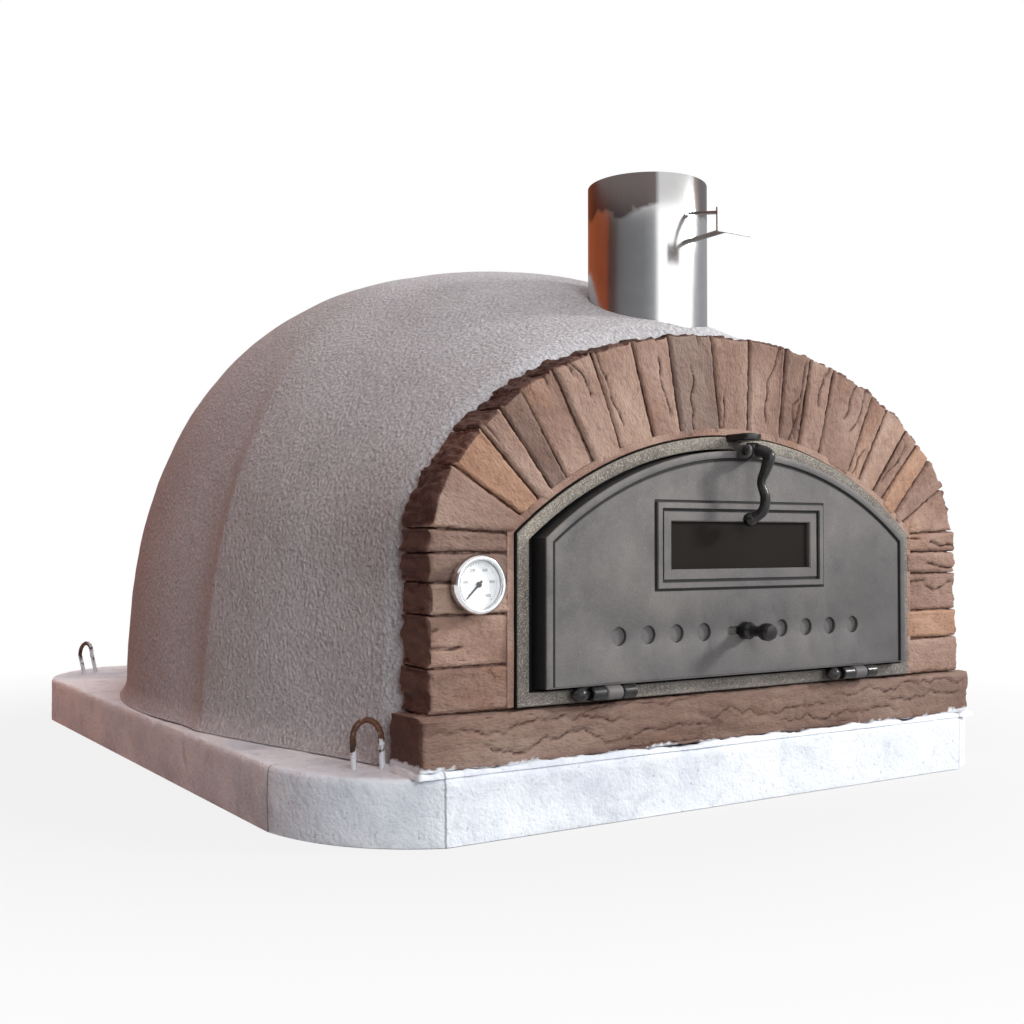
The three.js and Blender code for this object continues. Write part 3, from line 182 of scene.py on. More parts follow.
area_lamp("key", (4.4, -3.5, 2.8), (0, -0.35, 0.3), 0.8, 244, (1.0, 0.985, 0.96))
area_lamp("front_wide", (-1.3, -4.8, 1.6), (0, -0.4, 0.25), 2.4, 130, (0.92, 0.965, 1.0), False)
area_lamp("warm_back", (-2.2, 2.8, 0.5), (-0.3, 0.2, 0.25), 2.4, 36, (1.0, 0.24, 0.08), False)

# The round screen, as seen from the flue: turns from +X against the clock, with its brightness there
flue_centre = Vector((0, -0.467, 0))
screen_radius, screen_low, screen_high, screen_sides = 8.0, -0.2, 5.5, 96
screen_bands = [
    (0, (0.44, 0.45, 0.47)), (48, (0.40, 0.40, 0.42)), (62, (0.42, 0.115, 0.045)),
    (146, (0.36, 0.085, 0.035)), (153, (0.10, 0.055, 0.045)), (166, (0.11, 0.075, 0.065)),
    (176, (0.20, 0.19, 0.20)), (225, (0.27, 0.275, 0.29)), (246, (0.42, 0.43, 0.45)),
    (254, (2.1, 2.1, 2.1)), (316, (2.1, 2.1, 2.1)), (327, (0.42, 0.43, 0.45)),
]
screen_points, screen_faces = [], []
for k in range(screen_sides):
    angle = 2 * math.pi * k / screen_sides
    for height in (screen_low, screen_high):
        screen_points.append(
            (screen_radius * math.cos(angle), screen_radius * math.sin(angle) + flue_centre.y, height)
        )
    a, b = 2 * k, 2 * ((k + 1) % screen_sides)
    screen_faces.append((a, a + 1, b + 1, b))
screen_mesh = bpy.data.meshes.new("screen")
screen_mesh.from_pydata(screen_points, [], screen_faces)
screen = bpy.data.objects.new("screen", screen_mesh)
bpy.context.scene.collection.objects.link(screen)
for sight in ("camera", "diffuse", "shadow", "transmission", "volume_scatter"):
    setattr(screen, "visible_" + sight, False)
screen_light = bpy.data.materials.new("screen_light")
tree = bare_tree(screen_light)
way = add(tree, "ShaderNodeSeparateXYZ", {"Vector": add(tree, "ShaderNodeTexCoord").outputs["Object"]})
turn = maths(tree, "ARCTAN2", maths(tree, "ADD", way.outputs["Y"], -flue_centre.y), way.outputs["X"])
share = maths(tree, "WRAP", maths(tree, "DIVIDE", turn, 2 * math.pi), 1.0, 0.0)
bands = add(tree, "ShaderNodeValToRGB", {"Fac": share})
while len(bands.color_ramp.elements) < len(screen_bands):
    bands.color_ramp.elements.new(0.5)
for element, (degrees, colour) in zip(bands.color_ramp.elements, screen_bands):
    element.position = degrees / 360
    element.color = (*colour, 1)
screen_glow = add(tree, "ShaderNodeEmission", {"Color": bands.outputs["Color"], "Strength": 1.0})
add(tree, "ShaderNodeOutputMaterial", {"Surface": screen_glow.outputs[0]})
screen_mesh.materials.append(screen_light)


# Cast slab
# A reinforced concrete slab, cast in a mould with four drawn-in corners and skimmed by hand with
# white plaster, so its faces wave, its arrises are worn and hairline cracks run down the corners.
def linked(name, mesh):
    """A new object for a mesh, linked into the scene."""
    made = bpy.data.objects.new(name, mesh)
    bpy.context.scene.collection.objects.link(made)
    return made


def finish_piece(name, mesh, degrees, body, material=None, stands_for=()):
    """A finished piece: its shading, material and body, and the solids that it stands for."""
    if degrees:
        mesh.shade_smooth()
        mesh.set_sharp_from_angle(angle=math.radians(degrees))
    if material is not None:
        mesh.materials.clear()
        mesh.materials.append(material)
    made = linked(name, mesh)
    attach(made, body)
    if stands_for:
        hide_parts(*stands_for)


def mesh_of_rings(name, rings, closed_rings=True, caps=(False, False), loop=False):
    """Quads between rings of points; caps close the first and last ring, loop joins last to first."""
    count = len(rings[0])
    points = [point for ring in rings for point in ring]
    faces = []
    spans = len(rings) if loop else len(rings) - 1
    for i in range(spans):
        a, b = i * count, ((i + 1) % len(rings)) * count
        for j in range(count if closed_rings else count - 1):
            k = (j + 1) % count
            faces.append((a + j, a + k, b + k, b + j))
    if caps[0]:
        faces.append(tuple(reversed(range(count))))
    if caps[1]:
        faces.append(tuple(range((len(rings) - 1) * count, len(rings) * count)))
    mesh = bpy.data.meshes.new(name)
    mesh.from_pydata([tuple(p) for p in points], [], faces)
    mesh.update()
    return mesh


def outward(mesh):
    """The mesh with its faces turned outwards."""
    shell = bmesh.new()
    shell.from_mesh(mesh)
    bmesh.ops.remove_doubles(shell, verts=shell.verts, dist=1e-6)
    bmesh.ops.recalc_face_normals(shell, faces=shell.faces)
    shell.to_mesh(mesh)
    shell.free()
    return mesh


def waves(place, size, octaves=4, shift=0.0):
    """Smooth uneven height between about -1 and 1 for lumps of the given size."""
    return noise.fractal(Vector(place) / size + Vector((shift, shift * 1.7, -shift)), 0.6, 2.0, octaves)


slab_corner = Vector((0.122, 0.160))
slab_pull_shares = (0.83, 0.74)
slab_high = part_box("base_slab")[1]
slab_half = Vector((slab_high.x, slab_high.y))
slab_step = 0.009


def slab_outline():
    """The slab's plan, with its drawn-in corners."""
    straight = slab_half - slab_corner
    pull = Vector(
        (
            straight.x + slab_corner.x * slab_pull_shares[0],
            straight.y + slab_corner.y * slab_pull_shares[1],
        )
    )
    quarter = []
    for i in range(25):
        t = i / 24
        start, end = Vector((slab_half.x, straight.y)), Vector((straight.x, slab_half.y))
        quarter.append(start * (1 - t) ** 2 + pull * 2 * t * (1 - t) + end * t ** 2)
    corners = [
        quarter, [Vector((-p.x, p.y)) for p in reversed(quarter)], [-p for p in quarter],
        [Vector((p.x, -p.y)) for p in reversed(quarter)],
    ]
    outline = []
    for corner, following in zip(corners, corners[1:] + corners[:1]):
        outline += corner
        gap = following[0] - corner[-1]
        steps = int(gap.length / slab_step)
        outline += [corner[-1] + gap * (k / steps) for k in range(1, steps)]
    return outline


def slab_mesh():
    outline = slab_outline()
    top = slab_high.z
    profile = [(0.004, 0.0), (0.0012, 0.0014), (0, 0.004)]
    profile += [(0, 0.004 + (top - 0.010) * k / 9) for k in range(1, 9)]
    profile += [(0, top - 0.006), (0.0016, top - 0.002), (0.005, top)]
    profile += [(0.005 + 0.009 * k, top) for k in range(1, 26)]
    rings = []
    for inset, height in profile:
        ring = []
        for p in outline:
            q = Vector((p.x * (1 - inset / slab_half.x), p.y * (1 - inset / slab_half.y), height))
            edge = max(0.0, 1 - abs(inset - 0.003) / 0.012)
            lump = waves(q, 0.16, 2) * 0.0012 + waves(q, 0.03, 3, 4.0) * 0.0007
            if inset < 0.004 and height > 0.002:
                inward = Vector((q.x, q.y, 0)).normalized() * (0.0012 + lump)
                q -= Vector((inward.x, inward.y, 0))
                q.z -= edge * max(0.0, waves(q, 0.05, 3, 9.0)) * 0.0025 * (height > top - 0.01)
            elif height >= top:
                q.z += lump - 0.0012
            ring.append(q)
        rings.append(ring)
    mesh = mesh_of_rings("slab", rings, caps=(True, True))
    return outward(mesh)


def group_of(name, takes, gives, tree_kind="ShaderNodeTree"):
    """An empty node group with its inputs and outputs."""
    tree = bpy.data.node_groups.new(name, tree_kind)
    for key, kind, value in takes:
        socket = tree.interface.new_socket(key, in_out="INPUT", socket_type=kind)
        if value is not None:
            socket.default_value = value
    for key, kind in gives:
        tree.interface.new_socket(key, in_out="OUTPUT", socket_type=kind)
    return tree, tree.nodes.new("NodeGroupInput").outputs, tree.nodes.new("NodeGroupOutput").inputs


def use_group(tree, group, values):
    """A shader group's node with its inputs set."""
    made = add(tree, "ShaderNodeGroup", node_tree=group)
    feed(tree, made, values)
    return made


# Mineral grain: two sizes of mottling, specks of sand and the height that they give
mineral_grain, taken, given = group_of(
    "mineral_grain",
    [
        ("Vector", "NodeSocketVector", None), ("Grain", "NodeSocketFloat", 300.0),
        ("Patch", "NodeSocketFloat", 8.0), ("Seed", "NodeSocketFloat", 0.0),
    ],
    [("Patches", "NodeSocketFloat"), ("Specks", "NodeSocketFloat"), ("Height", "NodeSocketFloat")],
)
seeded = {"Vector": taken["Vector"], "W": taken["Seed"]}
patch = add(mineral_grain, "ShaderNodeTexNoise", {
    **seeded, "Scale": taken["Patch"], "Detail": 7.0, "Roughness": 0.62,
}, noise_dimensions="4D")
fine = add(mineral_grain, "ShaderNodeTexNoise", {
    **seeded, "Scale": taken["Grain"], "Detail": 3.0, "Roughness": 0.7,
}, noise_dimensions="4D")
sand = add(
    mineral_grain, "ShaderNodeTexVoronoi", {"Vector": taken["Vector"], "Scale": taken["Grain"]},
    feature="SMOOTH_F1",
)
sand_height = maths(mineral_grain, "SUBTRACT", 0.6, sand.outputs["Distance"])
grain_height = maths(mineral_grain, "ADD", sand_height, fine.outputs["Fac"])
mineral_grain.links.new(patch.outputs["Fac"], given["Patches"])
mineral_grain.links.new(fine.outputs["Fac"], given["Specks"])
mineral_grain.links.new(grain_height, given["Height"])


def ramp(tree, factor, *stops):
    """A colour ramp on a factor; each stop is a place and a colour."""
    made = add(tree, "ShaderNodeValToRGB", {"Fac": factor})
    elements = made.color_ramp.elements
    while len(elements) < len(stops):
        elements.new(0.5)
    for element, (place, colour) in zip(elements, stops):
        element.position = place
        element.color = colour
    return made.outputs["Color"]


def fade(tree, factor, start, end, low=0.0, high=1.0):
    """A grey mask that runs from low to high between two values of a factor."""
    return ramp(tree, factor, (start, (low, low, low, 1)), (end, (high, high, high, 1)))


def new_material(name, grit=300.0, patch=8.0):
    """An empty material, its tree, its object coordinates and its mineral grain of the given sizes."""
    material = bpy.data.materials.new(name)
    tree = bare_tree(material)
    place = add(tree, "ShaderNodeTexCoord").outputs["Object"]
    grain = use_group(tree, mineral_grain, {"Vector": place, "Grain": grit, "Patch": patch})
    return material, tree, place, grain.outputs


def surface(tree, colour, rough, height=None, relief=0.001, strength=1.0, **fixed):
    """The shader and its output; colour and roughness are sockets, the fixed values are its own."""
    values = {"Base Color": colour, "Roughness": rough}
    if height is not None:
        bump = add(tree, "ShaderNodeBump", {"Height": height, "Distance": relief, "Strength": strength})
        values["Normal"] = bump.outputs["Normal"]
    shader = add(tree, "ShaderNodeBsdfPrincipled", values)
    for key, value in fixed.items():
        shader.inputs[key.replace("_", " ")].default_value = value
    add(tree, "ShaderNodeOutputMaterial", {"Surface": shader.outputs[0]})
    return shader


slab_plaster, tree, place, grain = new_material("slab_plaster", 260.0, 9.0)
trowel = add(
    tree, "ShaderNodeTexNoise",
    {"Vector": place, "Scale": 34.0, "Detail": 5.0, "Roughness": 0.55, "Distortion": 0.6},
)
axes = add(tree, "ShaderNodeSeparateXYZ", {"Vector": place})
wander = maths(tree, "MULTIPLY_ADD", trowel.outputs["Fac"], 0.008, -0.004)
near_end = 0.012
crack_half = 0.0011
cracks = []
for along, across in ("XY", "YX"):
    run = "XYZ".index(along)
    joint = maths(tree, "ADD", wander, slab_half[run] - slab_corner[run])
    off_joint = maths(
        tree, "ABSOLUTE", maths(tree, "SUBTRACT", maths(tree, "ABSOLUTE", axes.outputs[along]), joint)
    )
    outer = maths(
        tree, "GREATER_THAN", maths(tree, "ABSOLUTE", axes.outputs[across]), slab_half[1 - run] - near_end
    )
    cracks.append(maths(tree, "MULTIPLY", outer, maths(tree, "LESS_THAN", off_joint, crack_half)))
crack = maths(tree, "MAXIMUM", cracks[0], cracks[1])
pale = ramp(
    tree, grain["Patches"],
    (0.32, tone(200, 206, 216)), (0.47, tone(226, 231, 238)), (0.62, tone(240, 243, 246)),
)
bare = maths(tree, "MULTIPLY", fade(tree, trowel.outputs["Fac"], 0.30, 0.44, 1, 0), 0.45)
pale = mixed(tree, bare, pale, tone(186, 190, 198))
pits = add(tree, "ShaderNodeTexNoise", {"Vector": place, "Scale": 150.0, "Detail": 4.0, "Roughness": 0.7})
pit_mask = fade(tree, pits.outputs["Fac"], 0.30, 0.40, 1, 0)
pale = mixed(tree, maths(tree, "MULTIPLY", pit_mask, 0.55), pale, tone(150, 152, 160))
pale = mixed(tree, maths(tree, "MULTIPLY", crack, 0.6), pale, tone(92, 92, 98))
slab_height = maths(
    tree, "MULTIPLY_ADD", grain["Height"], 0.30, maths(tree, "MULTIPLY", trowel.outputs["Fac"], 1.5)
)
slab_height = maths(tree, "MULTIPLY_ADD", pits.outputs["Fac"], 0.7, slab_height)
slab_height = maths(tree, "SUBTRACT", slab_height, maths(tree, "MULTIPLY", crack, 1.2))
slab_rough = fade(tree, grain["Specks"], 0.3, 0.7, 0.78, 0.95)
surface(tree, pale, slab_rough, slab_height, 0.0017, 0.9, Specular_IOR_Level=0.3)

finish_piece("slab", slab_mesh(), 50, "root", slab_plaster, ("base_slab",))


# Lifting hooks
# Four loops of ribbed reinforcing bar, cast into the slab's corners, leaning outwards a little.
# The steel is dark with rust and partly covered with splashed plaster.
hook_radius = 0.0031
hook_half = 0.0145
hook_rise = 0.045
hook_turn = 0.19 * math.pi
hook_lean = 0.009
hook_rooted = 0.03
rib_pitch = 0.0052
rib_radius = 0.0006


def bar_tree():
    """A round bar along a curve with slanted ribs at an even pitch."""
    takes = [("Geometry", "NodeSocketGeometry", None), ("Material", "NodeSocketMaterial", None)]
    takes += [(key, "NodeSocketFloat", None) for key in ("Bar Radius", "Rib Pitch", "Rib Radius")]
    tree, taken, given = group_of(
        "ribbed_bar", takes, [("Geometry", "NodeSocketGeometry")], "GeometryNodeTree"
    )
    section = add(tree, "GeometryNodeCurvePrimitiveCircle", {"Resolution": 14, "Radius": taken["Bar Radius"]})
    bar = add(
        tree, "GeometryNodeCurveToMesh",
        {"Curve": taken["Geometry"], "Profile Curve": section.outputs["Curve"], "Fill Caps": True},
    )
    stations = add(
        tree, "GeometryNodeCurveToPoints", {"Curve": taken["Geometry"], "Length": taken["Rib Pitch"]},
        mode="LENGTH",
    )
    loop = add(tree, "GeometryNodeCurvePrimitiveCircle", {"Resolution": 14, "Radius": taken["Bar Radius"]})
    bead = add(tree, "GeometryNodeCurvePrimitiveCircle", {"Resolution": 6, "Radius": taken["Rib Radius"]})
    rib = add(
        tree, "GeometryNodeCurveToMesh",
        {"Curve": loop.outputs["Curve"], "Profile Curve": bead.outputs["Curve"]},
    )
    slant = add(tree, "GeometryNodeTransform", {"Geometry": rib.outputs["Mesh"], "Rotation": (0.45, 0, 0)})
    ribs = add(
        tree,
        "GeometryNodeInstanceOnPoints",
        {
            "Points": stations.outputs["Points"], "Instance": slant.outputs["Geometry"],
            "Rotation": stations.outputs["Rotation"],
        },
    )
    both = add(tree, "GeometryNodeJoinGeometry")
    tree.links.new(bar.outputs["Mesh"], both.inputs["Geometry"])
    tree.links.new(ribs.outputs["Instances"], both.inputs["Geometry"])
    whole = add(tree, "GeometryNodeRealizeInstances", {"Geometry": both.outputs["Geometry"]})
    painted = add(
        tree, "GeometryNodeSetMaterial",
        {"Geometry": whole.outputs["Geometry"], "Material": taken["Material"]},
    )
    tree.links.new(painted.outputs["Geometry"], given["Geometry"])
    return tree


def grown(source, tree, values):
    """The mesh that a node tree makes of an object, with the tree's inputs set by name."""
    modifier = source.modifiers.new("growth", "NODES")
    modifier.node_group = tree
    for item in tree.interface.items_tree:
        if item.item_type == "SOCKET" and item.in_out == "INPUT" and item.name in values:
            modifier[item.identifier] = values[item.name]
    seen = source.evaluated_get(bpy.context.evaluated_depsgraph_get())
    mesh = bpy.data.meshes.new_from_object(seen)
    bpy.data.objects.remove(source)
    return mesh


def curve_object(name, points):
    """A curve through the points."""
    line = bpy.data.curves.new(name, "CURVE")
    line.dimensions = "3D"
    spline = line.splines.new("POLY")
    spline.points.add(len(points) - 1)
    for point, spot in zip(spline.points, points):
        point.co = (*spot, 1)
    return linked(name, line)


rebar_steel, tree, place, grain = new_material("rebar_steel", 900.0, 60.0)
rust = ramp(tree, grain["Patches"], (0.35, tone(52, 40, 36)), (0.6, tone(112, 74, 54)))
bar_height = add(tree, "ShaderNodeSeparateXYZ", {"Vector": place}).outputs["Z"]
low_down = add(
    tree,
    "ShaderNodeMapRange",
    {
        "Value": bar_height, "From Min": slab_high.z, "From Max": slab_high.z + 0.04, "To Min": 0.16,
        "To Max": -0.05,
    },
)
coated = maths(tree, "ADD", grain["Patches"], low_down.outputs["Result"])
splash = fade(tree, coated, 0.52, 0.57)
rust = mixed(tree, splash, rust, tone(222, 224, 228))
surface(
    tree, rust, fade(tree, grain["Specks"], 0.3, 0.7, 0.5, 0.85), grain["Height"], 0.0005, 0.8,
    Metallic=0.35,
)

ribbed_bar = bar_tree()
for node_name, side_x, side_y in (
    ("front_left", -1, -1), ("front_right", 1, -1), ("rear_left", -1, 1), ("rear_right", 1, 1)
):
    low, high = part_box("lifting_hook_" + node_name)
    outward_way = Vector((side_x * math.sin(hook_turn), side_y * math.cos(hook_turn), 0))
    along_way = Vector((side_x * math.cos(hook_turn), -side_y * math.sin(hook_turn), 0))
    foot = Vector(((low.x + high.x) / 2, (low.y + high.y) / 2, 0)) - outward_way * hook_lean / 2
    crown_z = slab_high.z + hook_rise - hook_half
    levels = ((slab_high.z - hook_rooted, 0), (slab_high.z, 0), (crown_z, hook_lean))
    legs = []
    for end in (-1, 1):
        leg_foot = foot + along_way * hook_half * end
        legs.append([leg_foot + Vector((0, 0, z)) + outward_way * lean for z, lean in levels])
    bend = []
    for k in range(1, 16):
        angle = math.pi * k / 16
        top = foot + outward_way * hook_lean - along_way * (math.cos(angle) * hook_half)
        bend.append(top + Vector((0, 0, crown_z + math.sin(angle) * (hook_half + 0.005))))
    path = legs[0] + bend + legs[1][::-1]
    finish_piece(
        "hook_" + node_name,
        grown(
            curve_object("hook_line", path),
            ribbed_bar,
            {
                "Bar Radius": hook_radius, "Rib Pitch": rib_pitch, "Rib Radius": rib_radius,
                "Material": rebar_steel,
            },
        ),
        60,
        "root",
        None,
        ("lifting_hook_" + node_name,),
    )


# Front sill
# One long block of coloured cast stone in front of the door, split-faced and rough, bedded in white
# plaster that was smeared up its foot. It carries the arch and the door frame.
def worked_copy(node_name, voxel, smoothing):
    """A solid's form with fine even faces and softened arrises, ready to be worked."""
    mesh = cad_nodes[node_name].data.copy()
    shell = bmesh.new()
    shell.from_mesh(mesh)
    bmesh.ops.remove_doubles(shell, verts=shell.verts, dist=1e-5)
    shell.to_mesh(mesh)
    shell.free()
    rough = linked("working", mesh)
    remesh = rough.modifiers.new("even", "REMESH")
    remesh.mode = "VOXEL"
    remesh.voxel_size = voxel
    if smoothing:
        soft = rough.modifiers.new("soft", "SMOOTH")
        soft.factor = 0.5
        soft.iterations = smoothing
    seen = rough.evaluated_get(bpy.context.evaluated_depsgraph_get())
    finished = bpy.data.meshes.new_from_object(seen)
    bpy.data.objects.remove(rough)
    return finished


def ridge(place, size, shift):
    """Narrow folds: 1 on a crease and falling away from it."""
    return 1 - abs(noise.noise(Vector(place) / size + Vector((shift, -shift, shift * 0.5)))) * 2


def work_faces(mesh, move):
    """Moves each point by what move(place, normal) gives, and keeps the marks that it returns: how far in a
    crease and how far on a broken outer end it is, which darken it as painted shade, and its place in the
    block's layers."""
    creases = mesh.attributes.new("crease", "FLOAT", "POINT")
    end_shades = mesh.attributes.new("end_painted_shade", "FLOAT", "POINT")
    layers = mesh.attributes.new("laid", "FLOAT_VECTOR", "POINT")
    spots = []
    for vertex in mesh.vertices:
        shift, crease, end, laid = move(vertex.co, vertex.normal)
        spots.append(vertex.co + shift)
        creases.data[vertex.index].value = crease
        end_shades.data[vertex.index].value = end
        layers.data[vertex.index].vector = laid
    for vertex, spot in zip(mesh.vertices, spots):
        vertex.co = spot
    mesh.update()


sill_low, sill_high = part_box("front_sill")
sill_cracks = [
    (0.72, -0.42, -0.14, 1.3), (0.38, -0.36, -0.02, 2.9), (0.60, -0.08, 0.16, 4.7), (0.30, 0.05, 0.30, 6.1),
    (0.78, 0.12, 0.42, 7.7), (0.50, 0.24, 0.42, 9.2), (0.86, -0.24, -0.05, 10.8), (0.18, -0.20, -0.03, 12.4),
]


def sill_faces(place, normal):
    across = Vector((place.x * 0.20, place.y * 0.8, place.z * 1.5))
    patchy = max(0.0, min(1.0, waves(place, 0.11, 2, 6.0) * 1.8 + 0.30))
    crease = max(0.0, (ridge(across, 0.034, 3.0) - 0.93) / 0.07) * patchy * 0.6
    for height_share, start, end, phase in sill_cracks:
        line = sill_low.z + (sill_high.z - sill_low.z) * height_share + waves(
            (place.x, phase, 0), 0.07, 4, phase
        ) * 0.011
        run = max(0.0, min(1.0, min(place.x - start, end - place.x) / 0.03))
        crease = max(crease, max(0.0, 1 - abs(place.z - line) / 0.0028) * run * max(0.0, -normal.y))
    lump = waves(across, 0.035, 4) * 0.0019 + waves(place, 0.011, 3, 2.0) * 0.0009
    # end marks the sill's end faces, which are darkened as painted shade
    end = max(0.0, min(1.0, (abs(normal.x) - 0.4) / 0.3))
    laid = Vector((place.x * 0.5, place.y, place.z * 1.1))
    # The crease mark darkens the sill's cracks and creases as painted shade
    return normal * (lump - 0.0018 - crease * 0.0026), crease * 0.85, end, laid


sill_mesh = worked_copy("front_sill", 0.0026, 1)
work_faces(sill_mesh, sill_faces)

# Wear of the stone: layers along the block, hairline cracks, ochre bloom, and painted shade on the outer
# ends, in the splits and far into the joints
stone_wear, taken, given = group_of(
    "stone_wear",
    [
        ("Vector", "NodeSocketVector", None), ("Crease Shade", "NodeSocketFloat", 0.0),
        ("Tone", "NodeSocketFloat", 0.5), ("Painted End Shade", "NodeSocketFloat", 0.0),
        ("Grain", "NodeSocketFloat", 420.0),
    ],
    [("Color", "NodeSocketColor"), ("Roughness", "NodeSocketFloat"), ("Height", "NodeSocketFloat")],
)
tree = stone_wear
grain = use_group(
    tree, mineral_grain,
    {"Vector": taken["Vector"], "Grain": taken["Grain"], "Patch": 14.0, "Seed": taken["Tone"]},
).outputs
blush = add(tree, "ShaderNodeTexNoise", {
    "Vector": taken["Vector"], "Scale": 30.0, "Detail": 6.0, "Roughness": 0.62, "W": taken["Tone"],
}, noise_dimensions="4D")
layers = add(
    tree,
    "ShaderNodeTexNoise",
    {
        "Vector": taken["Vector"], "Scale": 95.0, "Detail": 5.0, "Roughness": 0.65, "Distortion": 0.5,
        "W": taken["Tone"],
    },
    noise_dimensions="4D",
)
stray = add(
    tree, "ShaderNodeVectorMath", {0: layers.outputs["Color"], 1: (0.010, 0.010, 0.010)},
    operation="MULTIPLY",
)
bent = add(tree, "ShaderNodeVectorMath", {0: taken["Vector"], 1: stray.outputs[0]}, operation="ADD")
cells = add(
    tree, "ShaderNodeTexVoronoi", {"Vector": bent.outputs[0], "Scale": 34.0}, feature="DISTANCE_TO_EDGE"
)
hairline = fade(tree, cells.outputs["Distance"], 0.0, 0.028, 1, 0)
cracked = fade(tree, blush.outputs["Fac"], 0.62, 0.68)
hairline = maths(tree, "MULTIPLY", hairline, maths(tree, "MULTIPLY", cracked, 0.7))
body_tone = ramp(
    tree, grain["Patches"], (0.32, tone(126, 99, 88)), (0.47, tone(156, 129, 116)),
    (0.64, tone(180, 156, 142)),
)
ochre = fade(tree, blush.outputs["Fac"], 0.56, 0.70)
body_tone = mixed(tree, maths(tree, "MULTIPLY", ochre, 0.45), body_tone, tone(162, 122, 92))
lift = ramp(
    tree, taken["Tone"], (0.0, tone(192, 189, 190)), (0.35, tone(232, 226, 223)),
    (0.86, tone(252, 247, 243)), (0.96, tone(255, 237, 218)),
)
body_tone = mixed(tree, 1.0, body_tone, lift, "MULTIPLY")
shadowed = fade(tree, layers.outputs["Fac"], 0.34, 0.50, 1, 0)
body_tone = mixed(tree, maths(tree, "MULTIPLY", shadowed, 0.20), body_tone, tone(104, 74, 66))
speck = fade(tree, grain["Specks"], 0.34, 0.44, 1, 0)
body_tone = mixed(tree, maths(tree, "MULTIPLY", speck, 0.40), body_tone, tone(88, 60, 54))
# Painted shade on the outer end faces of the blocks and of the sill
body_tone = mixed(tree, maths(tree, "MULTIPLY", taken["Painted End Shade"], 0.82), body_tone, tone(74, 47, 41))
broken_up = fade(tree, layers.outputs["Fac"], 0.40, 0.56, 0.2, 1)
split = fade(tree, taken["Crease Shade"], 0.20, 0.70)
split = maths(tree, "MULTIPLY", split, broken_up)
# Painted shade in the splits, chisel marks and far into the joints, with dark hairline cracks
crack_and_joint_shade = maths(tree, "MAXIMUM", split, maths(tree, "MULTIPLY", hairline, 0.75), clamp=True)
body_tone = mixed(tree, maths(tree, "MULTIPLY", crack_and_joint_shade, 0.92), body_tone, tone(58, 32, 27))
wear_height = maths(tree, "MULTIPLY_ADD", layers.outputs["Fac"], 1.1, grain["Height"])
wear_height = maths(tree, "MULTIPLY_ADD", blush.outputs["Fac"], 2.0, wear_height)
wear_height = maths(tree, "MULTIPLY_ADD", hairline, -0.9, wear_height)
tree.links.new(body_tone, given["Color"])
tree.links.new(maths(tree, "MULTIPLY_ADD", grain["Specks"], 0.25, 0.66), given["Roughness"])
tree.links.new(wear_height, given["Height"])


def stone_material(name, smeared):
    """Coloured cast stone with its layers along the block, and plaster smeared up its foot."""
    material = bpy.data.materials.new(name)
    tree = bare_tree(material)
    place = add(tree, "ShaderNodeTexCoord").outputs["Object"]
    laid = add(tree, "ShaderNodeAttribute", attribute_name="laid")
    # The crease and end marks carry painted shade into the colour
    marks = [
        add(tree, "ShaderNodeAttribute", attribute_name=key).outputs["Fac"]
        for key in ("crease", "shade", "end_painted_shade")
    ]
    wear = use_group(
        tree, stone_wear,
        {"Vector": laid.outputs["Vector"], "Crease Shade": marks[0], "Tone": marks[1], "Painted End Shade": marks[2]},
    )
    colour = wear.outputs["Color"]
    if smeared:
        axes = add(tree, "ShaderNodeSeparateXYZ", {"Vector": place})
        drips = add(
            tree, "ShaderNodeTexNoise", {"Vector": place, "Scale": 30.0, "Detail": 8.0, "Roughness": 0.72}
        )
        span = maths(tree, "ABSOLUTE", axes.outputs["X"])
        nearer_end = add(
            tree,
            "ShaderNodeMapRange",
            {
                "Value": span, "From Min": sill_high.x - 0.07, "From Max": sill_high.x, "To Min": 0.0,
                "To Max": 0.007,
            },
        )
        edge = maths(tree, "MULTIPLY_ADD", drips.outputs["Fac"], 0.032, sill_low.z - 0.0125)
        edge = maths(tree, "ADD", edge, nearer_end.outputs["Result"])
        above_edge = maths(tree, "SUBTRACT", axes.outputs["Z"], edge)
        smear = fade(tree, maths(tree, "MULTIPLY_ADD", above_edge, 200.0, 0.5), 0.2, 0.8, 1, 0)
        colour = mixed(tree, maths(tree, "MULTIPLY", smear, 0.9), colour, tone(226, 229, 234))
    surface(
        tree, colour, wear.outputs["Roughness"], wear.outputs["Height"], 0.0012, 0.75,
        Specular_IOR_Level=0.3,
    )
    return material


def even_shade(mesh, value):
    shade = mesh.attributes.new("shade", "FLOAT", "POINT")
    shade.data.foreach_set("value", np.full(len(mesh.vertices), value, np.float32))


even_shade(sill_mesh, 0.1)
finish_piece("sill", sill_mesh, 60, "root", stone_material("sill_stone", True), ("front_sill",))

foot_corners = [
    (sill_low.x, sill_high.y), (sill_low.x, sill_low.y), (sill_high.x, sill_low.y),
    (sill_high.x, sill_high.y),
]
foot_ways = [Vector((-1, 0, 0)), Vector((0, -1, 0)), Vector((1, 0, 0))]
foot_sections = []
for (start, end), way_out in zip(zip(foot_corners, foot_corners[1:]), foot_ways):
    start, end = Vector((*start, slab_high.z)), Vector((*end, slab_high.z))
    steps = int((end - start).length / 0.005)
    for k in range(steps + 1):
        spot = start.lerp(end, k / steps)
        tall = 0.0045 + waves(spot, 0.045, 4, 2.0) * 0.0040
        wide = 0.0026 + waves(spot, 0.03, 3, 5.0) * 0.0010
        foot_sections.append(
            [
                spot - way_out * 0.004 + Vector((0, 0, -0.0012)),
                spot + way_out * wide + Vector((0, 0, -0.0012)),
                spot + way_out * (wide * 0.8) + Vector((0, 0, tall * 0.35)),
                spot + way_out * 0.0006 + Vector((0, 0, tall)),
                spot - way_out * 0.004 + Vector((0, 0, tall)),
            ]
        )
